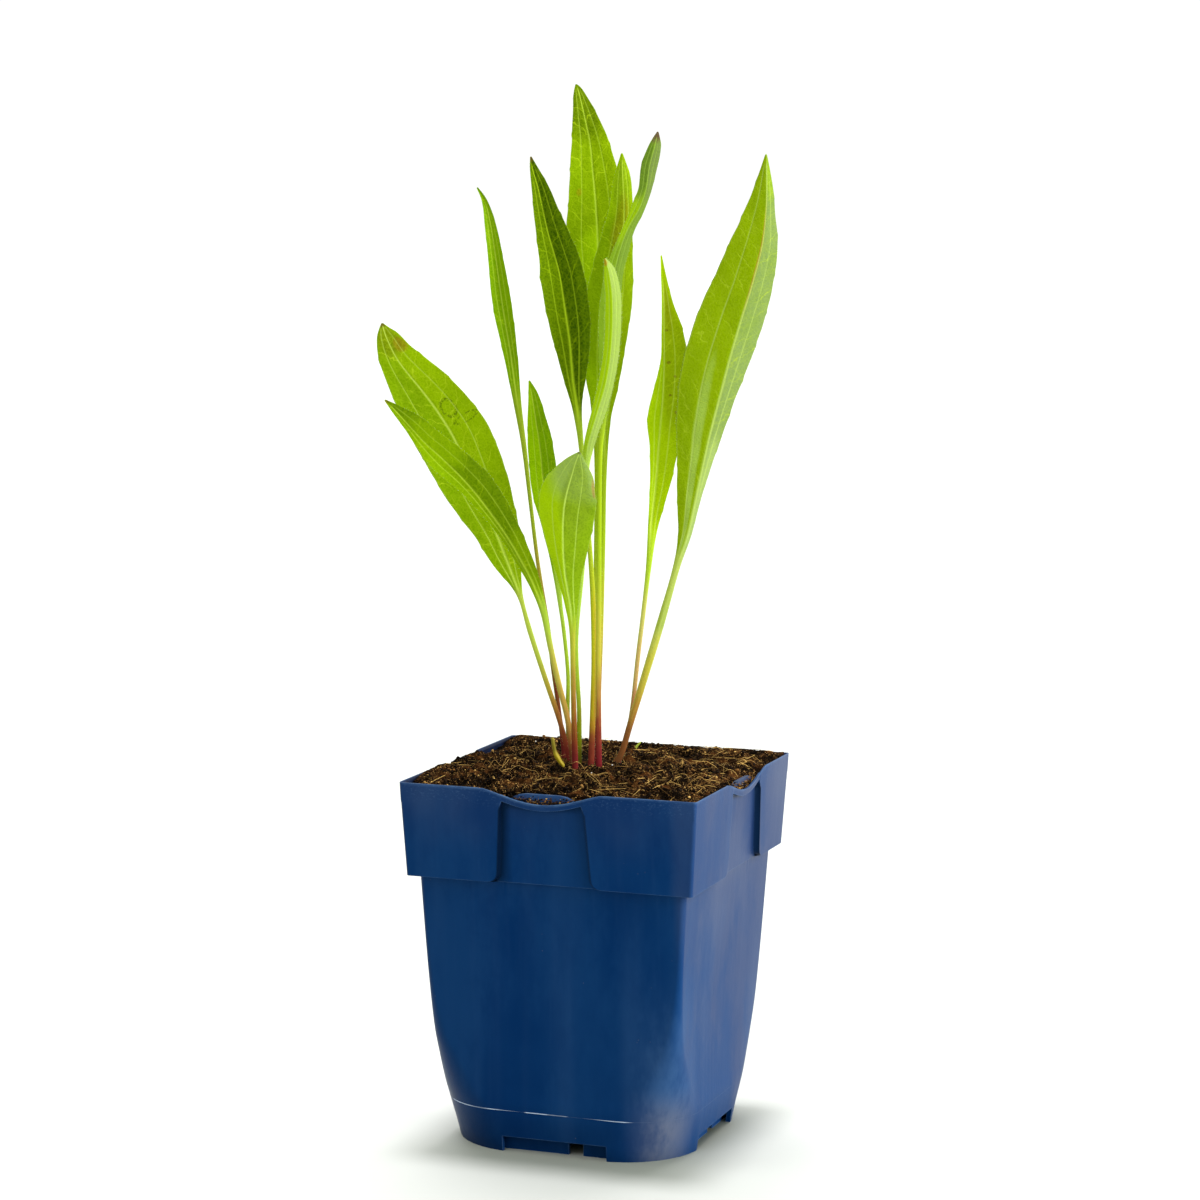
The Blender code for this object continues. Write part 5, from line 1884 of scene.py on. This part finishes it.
    @staticmethod
    def _tube(path: np.ndarray, radius: float, sides: int = 4) -> tuple[np.ndarray, np.ndarray]:
        """A thin closed tube that tapers to both ends.

        Args:
            path: Its centre line.
            radius: Its radius in the middle.
            sides: How many sides it has; its flat ends have as many corners as its other faces, 4.

        Returns:
            Its vertices and its faces.
        """
        run = unit(np.gradient(path, axis=0))
        side = unit(np.cross(run, np.array([0.0, 0.0, 1.0])))
        rise = np.cross(side, run)
        share = np.clip(np.linspace(0, 1, len(path)), 0.04, 0.96)
        thin = radius * (0.35 + 0.65 * np.sin(math.pi * share) ** 0.5)[:, None]
        angles = [2 * math.pi * index / sides for index in range(sides)]
        rings = [path + (side * math.cos(angle) + rise * math.sin(angle)) * thin for angle in angles]
        ring = np.arange(sides)
        after = np.roll(ring, -1)
        last = (len(path) - 1) * sides
        starts = np.arange(0, last, sides)[:, None, None]
        walls = starts + np.stack((ring, ring + sides, after + sides, after), axis=1)
        quads = np.concatenate((walls.reshape(-1, 4), [ring, last + ring[::-1]]))
        return np.stack(rings, axis=1).reshape(-1, 3), quads

    def _grit(self) -> None:
        """A few white mineral grains."""
        lumps = [self._lump(seed) for seed in range(20, 23)]
        loose = Scatter()
        for _ in range(self.grains):
            shape, sides = self.chance.choice(lumps)
            x, y = self._spot(3.0)
            size = self.chance.uniform(0.15, 0.42)
            loose.add((shape * size + np.array([x, y, self.height(x, y) + size * 0.4])) * MM, sides)
        finish_piece(loose.build("mineral_grit"), Grit().make(), "potting_soil")


# ---- crown


@dataclass(frozen=True)
class Shoot:
    """A short bare shoot of the crown: a round stalk that thins to its tip."""

    name: str
    node: str
    points: tuple[tuple[float, float, float, float], ...]
    low: Tone
    high: Tone
    from_height: float
    to_height: float

    def build(self) -> None:
        """Build the shoot and dress it."""
        table = smooth_through(self.points, [5] * (len(self.points) - 1))
        run = unit(np.gradient(table[:, :2], axis=0))
        angle = np.linspace(0, 2 * math.pi, 17)[None, :]
        radius = table[:, 3:4] * (1.0 + 0.06 * np.sin(angle * 5))
        across = table[:, 0:1] + run[:, 1:2] * radius * np.cos(angle)
        up = table[:, 1:2] - run[:, 0:1] * radius * np.cos(angle)
        rings = fan_to_world(across, up, table[:, 2:3] + radius * np.sin(angle))
        for index in (0, -1):
            rings[index] = fan_to_world(*table[index, :3])
        thing = sheet_from_grid(self.name, rings)
        weld(thing)
        pick(thing)
        bpy.ops.object.shade_smooth()
        graph = Graph(self.name + "_skin")
        place = graph.place()
        grown = graph.span(graph.axis(place, "Z"), self.from_height * MM, self.to_height * MM)
        grain = graph.drawn(place, (900.0, 900.0, 120.0))
        tone = graph.over(self.low, self.high, grown)
        tone = graph.over(tone, self.low, graph.span(grain, 0.4, 0.7, 0.0, 0.35))
        graph.set(Base_Color=tone, Roughness=0.5, Specular_IOR_Level=0.3)
        graph.bump(grain, 0.0001)
        finish_piece(thing, graph.material, self.node, self.node)


SHOOTS = (
    Shoot(
        "old_stub", "old_leaf_stalk",
        ((-12.2, 126, 9.5, 0.6), (-12.5, 133, 9.5, 0.65), (-14, 135.6, 9.5, 0.8), (-15.3, 137.8, 9.5, 0.88),
         (-15.9, 139.4, 9.5, 0.7), (-16.3, 141.5, 9.5, 0.68), (-16.8, 144.4, 9.5, 0.62)),
        low=(0.42, 0.32, 0.008), high=(0.19, 0.155, 0.002), from_height=137.6, to_height=140.2,
    ),
    Shoot(
        "new_shoot", "young_sprout",
        ((12.4, 126, -28, 0.6), (12.5, 132, -28, 0.55), (13.4, 134.4, -28.2, 0.5),
         (15.4, 136.6, -28.6, 0.22)),
        low=(0.16, 0.21, 0.01), high=(0.33, 0.4, 0.03), from_height=130.0, to_height=135.0,
    ),
)


# ---- studio


@dataclass(frozen=True)
class Studio:
    """The floor, the soft light and the camera."""

    azimuth: float = 19.796
    elevation: float = 7.076
    roll: float = 0.286
    distance: float = 1.2391
    target: float = 0.1926
    lens: float = 103.85
    surround: float = 0.8
    overhead: float = 1.75
    key_power: float = 40.0
    side_power: float = 16.0
    floor_tone: Tone = (0.88, 0.8, 1.0)

    def build(self) -> None:
        """Set up the floor, lights and camera."""
        self._floor()
        self._world()
        self._sun("overhead", self.overhead, 44.0, (0.0, 0.0), "EXCLUDE")
        for name, energy, angle, lean in (
            ("floor_crisp", 4.0, 10.0, (4.0, 0.0)), ("floor_soft", 4.9, 62.0, (36.0, 4.0)),
            ("floor_front", 0.9, 20.0, (-45.0, -30.0)),
        ):
            self._sun(name, energy, angle, lean, "INCLUDE", self.floor_tone)
        plant, pot = ("studio_floor", "EXCLUDE"), ("nursery_pot", "INCLUDE")
        self._box("key", (1.45, -0.05, 0.95), (0.0, 0.0, 0.15), 1.0, self.key_power, plant)
        self._box("side", (1.2, -0.42, 0.4), (0.03, -0.02, 0.05), 0.7, self.side_power, pot)
        self._camera()
        bpy.context.scene.view_settings.view_transform = "Standard"

    def _floor(self) -> None:
        """The plain pale floor."""
        clear_selection()
        bpy.ops.mesh.primitive_grid_add(x_subdivisions=4, y_subdivisions=4, size=30.0)
        floor = bpy.context.active_object
        floor.name = "studio_floor"
        graph = Graph("pale_floor")
        graph.set(Base_Color=(0.38, 0.42, 0.335), Roughness=0.95, Specular_IOR_Level=0.0)
        floor.data.materials.append(graph.material)

    def _world(self) -> None:
        """White surroundings that light the plant more softly than they look."""
        world = bpy.data.worlds.new("studio_white")
        bpy.context.scene.world = world
        world.use_nodes = True
        nodes, links = world.node_tree.nodes, world.node_tree.links
        strength = nodes.new("ShaderNodeMapRange")
        links.new(nodes.new("ShaderNodeLightPath").outputs["Is Camera Ray"], strength.inputs[0])
        strength.inputs[3].default_value = self.surround
        strength.inputs[4].default_value = 1.05
        links.new(strength.outputs[0], nodes["Background"].inputs["Strength"])
        nodes["Background"].inputs["Color"].default_value = (1.0, 1.0, 1.0, 1.0)

    @staticmethod
    def _hang(lamp: bpy.types.Light, place: Matrix, target: str, state: str) -> None:
        """Put up a lamp that lights one object alone, or all but that one.

        Args:
            lamp: The lamp.
            place: Its place and turn.
            target: The object's name.
            state: "INCLUDE" or "EXCLUDE".
        """
        holder = bpy.data.objects.new(lamp.name, lamp)
        bpy.context.scene.collection.objects.link(holder)
        holder.matrix_world = place
        linked = bpy.data.collections.new(lamp.name + "_targets")
        linked.objects.link(bpy.data.objects[target])
        holder.light_linking.receiver_collection = linked
        linked.collection_objects[0].light_linking.link_state = state

    def _sun(self, name: str, energy: float, angle: float, lean: tuple[float, float], state: str,
             tone: Tone = (1.0, 1.0, 1.0)) -> None:
        """A wide soft light from above, leant so that shadows fall towards the camera.

        Args:
            name: The lamp's name.
            energy: Its power.
            angle: How wide it is, in degrees.
            lean: How far it leans back and to the right of the camera's upright, in degrees.
            state: Whether it lights the floor alone, "INCLUDE", or all but the floor, "EXCLUDE".
            tone: Its colour.
        """
        lamp = bpy.data.lights.new(name, "SUN")
        lamp.energy, lamp.angle, lamp.color = energy, math.radians(angle), tone
        back, right = (math.tan(math.radians(angle)) for angle in lean)
        way = Matrix.Rotation(math.radians(self.azimuth), 3, "Z") @ Vector((right, back, 1.0)).normalized()
        turn = way.to_track_quat("Z", "Y").to_matrix().to_4x4()
        self._hang(lamp, Matrix.Translation(way * 2.0) @ turn, "studio_floor", state)

    def _box(self, name: str, place: Place, aim: Place, size: float, energy: float,
             lit: tuple[str, str]) -> None:
        """A large soft box at the right.

        Args:
            name: The lamp's name.
            place: Where it stands.
            aim: The point that it faces.
            size: Its side.
            energy: Its power.
            lit: The name of an object, and whether the lamp lights it alone or all but it.
        """
        lamp = bpy.data.lights.new(name, "AREA")
        lamp.shape, lamp.size, lamp.energy = "SQUARE", size, energy
        turn = (Vector(aim) - Vector(place)).to_track_quat("-Z", "Y").to_matrix().to_4x4()
        self._hang(lamp, Matrix.Translation(place) @ turn, *lit)

    def _camera(self) -> None:
        """The camera."""
        turn, rise, roll = (math.radians(v) for v in (self.azimuth, self.elevation, self.roll))
        back = Vector((math.sin(turn) * math.cos(rise), -math.cos(turn) * math.cos(rise), math.sin(rise)))
        side = Vector((0, 0, 1)).cross(back).normalized()
        upward = back.cross(side)
        right = side * math.cos(roll) + upward * math.sin(roll)
        top = upward * math.cos(roll) - side * math.sin(roll)
        place = Vector((0, 0, self.target)) + back * self.distance
        camera = bpy.data.cameras.new("camera")
        camera.lens, camera.sensor_width = self.lens, 36.0
        holder = bpy.data.objects.new("camera", camera)
        bpy.context.scene.collection.objects.link(holder)
        holder.matrix_world = Matrix.Translation(place) @ Matrix((right, top, back)).transposed().to_4x4()
        bpy.context.scene.camera = holder


def main() -> None:
    """Build every piece in order."""
    logging.basicConfig(level=logging.INFO, format="%(message)s")
    pot = NurseryPot()
    pot.build()
    PartingLine().build(pot)
    PottingMix(pot).build()
    for leaf in LEAVES:
        leaf.build()
    LeafDown().build()
    for shoot in SHOOTS:
        shoot.build()
    Studio().build()


if __name__ == "__main__":
    main()
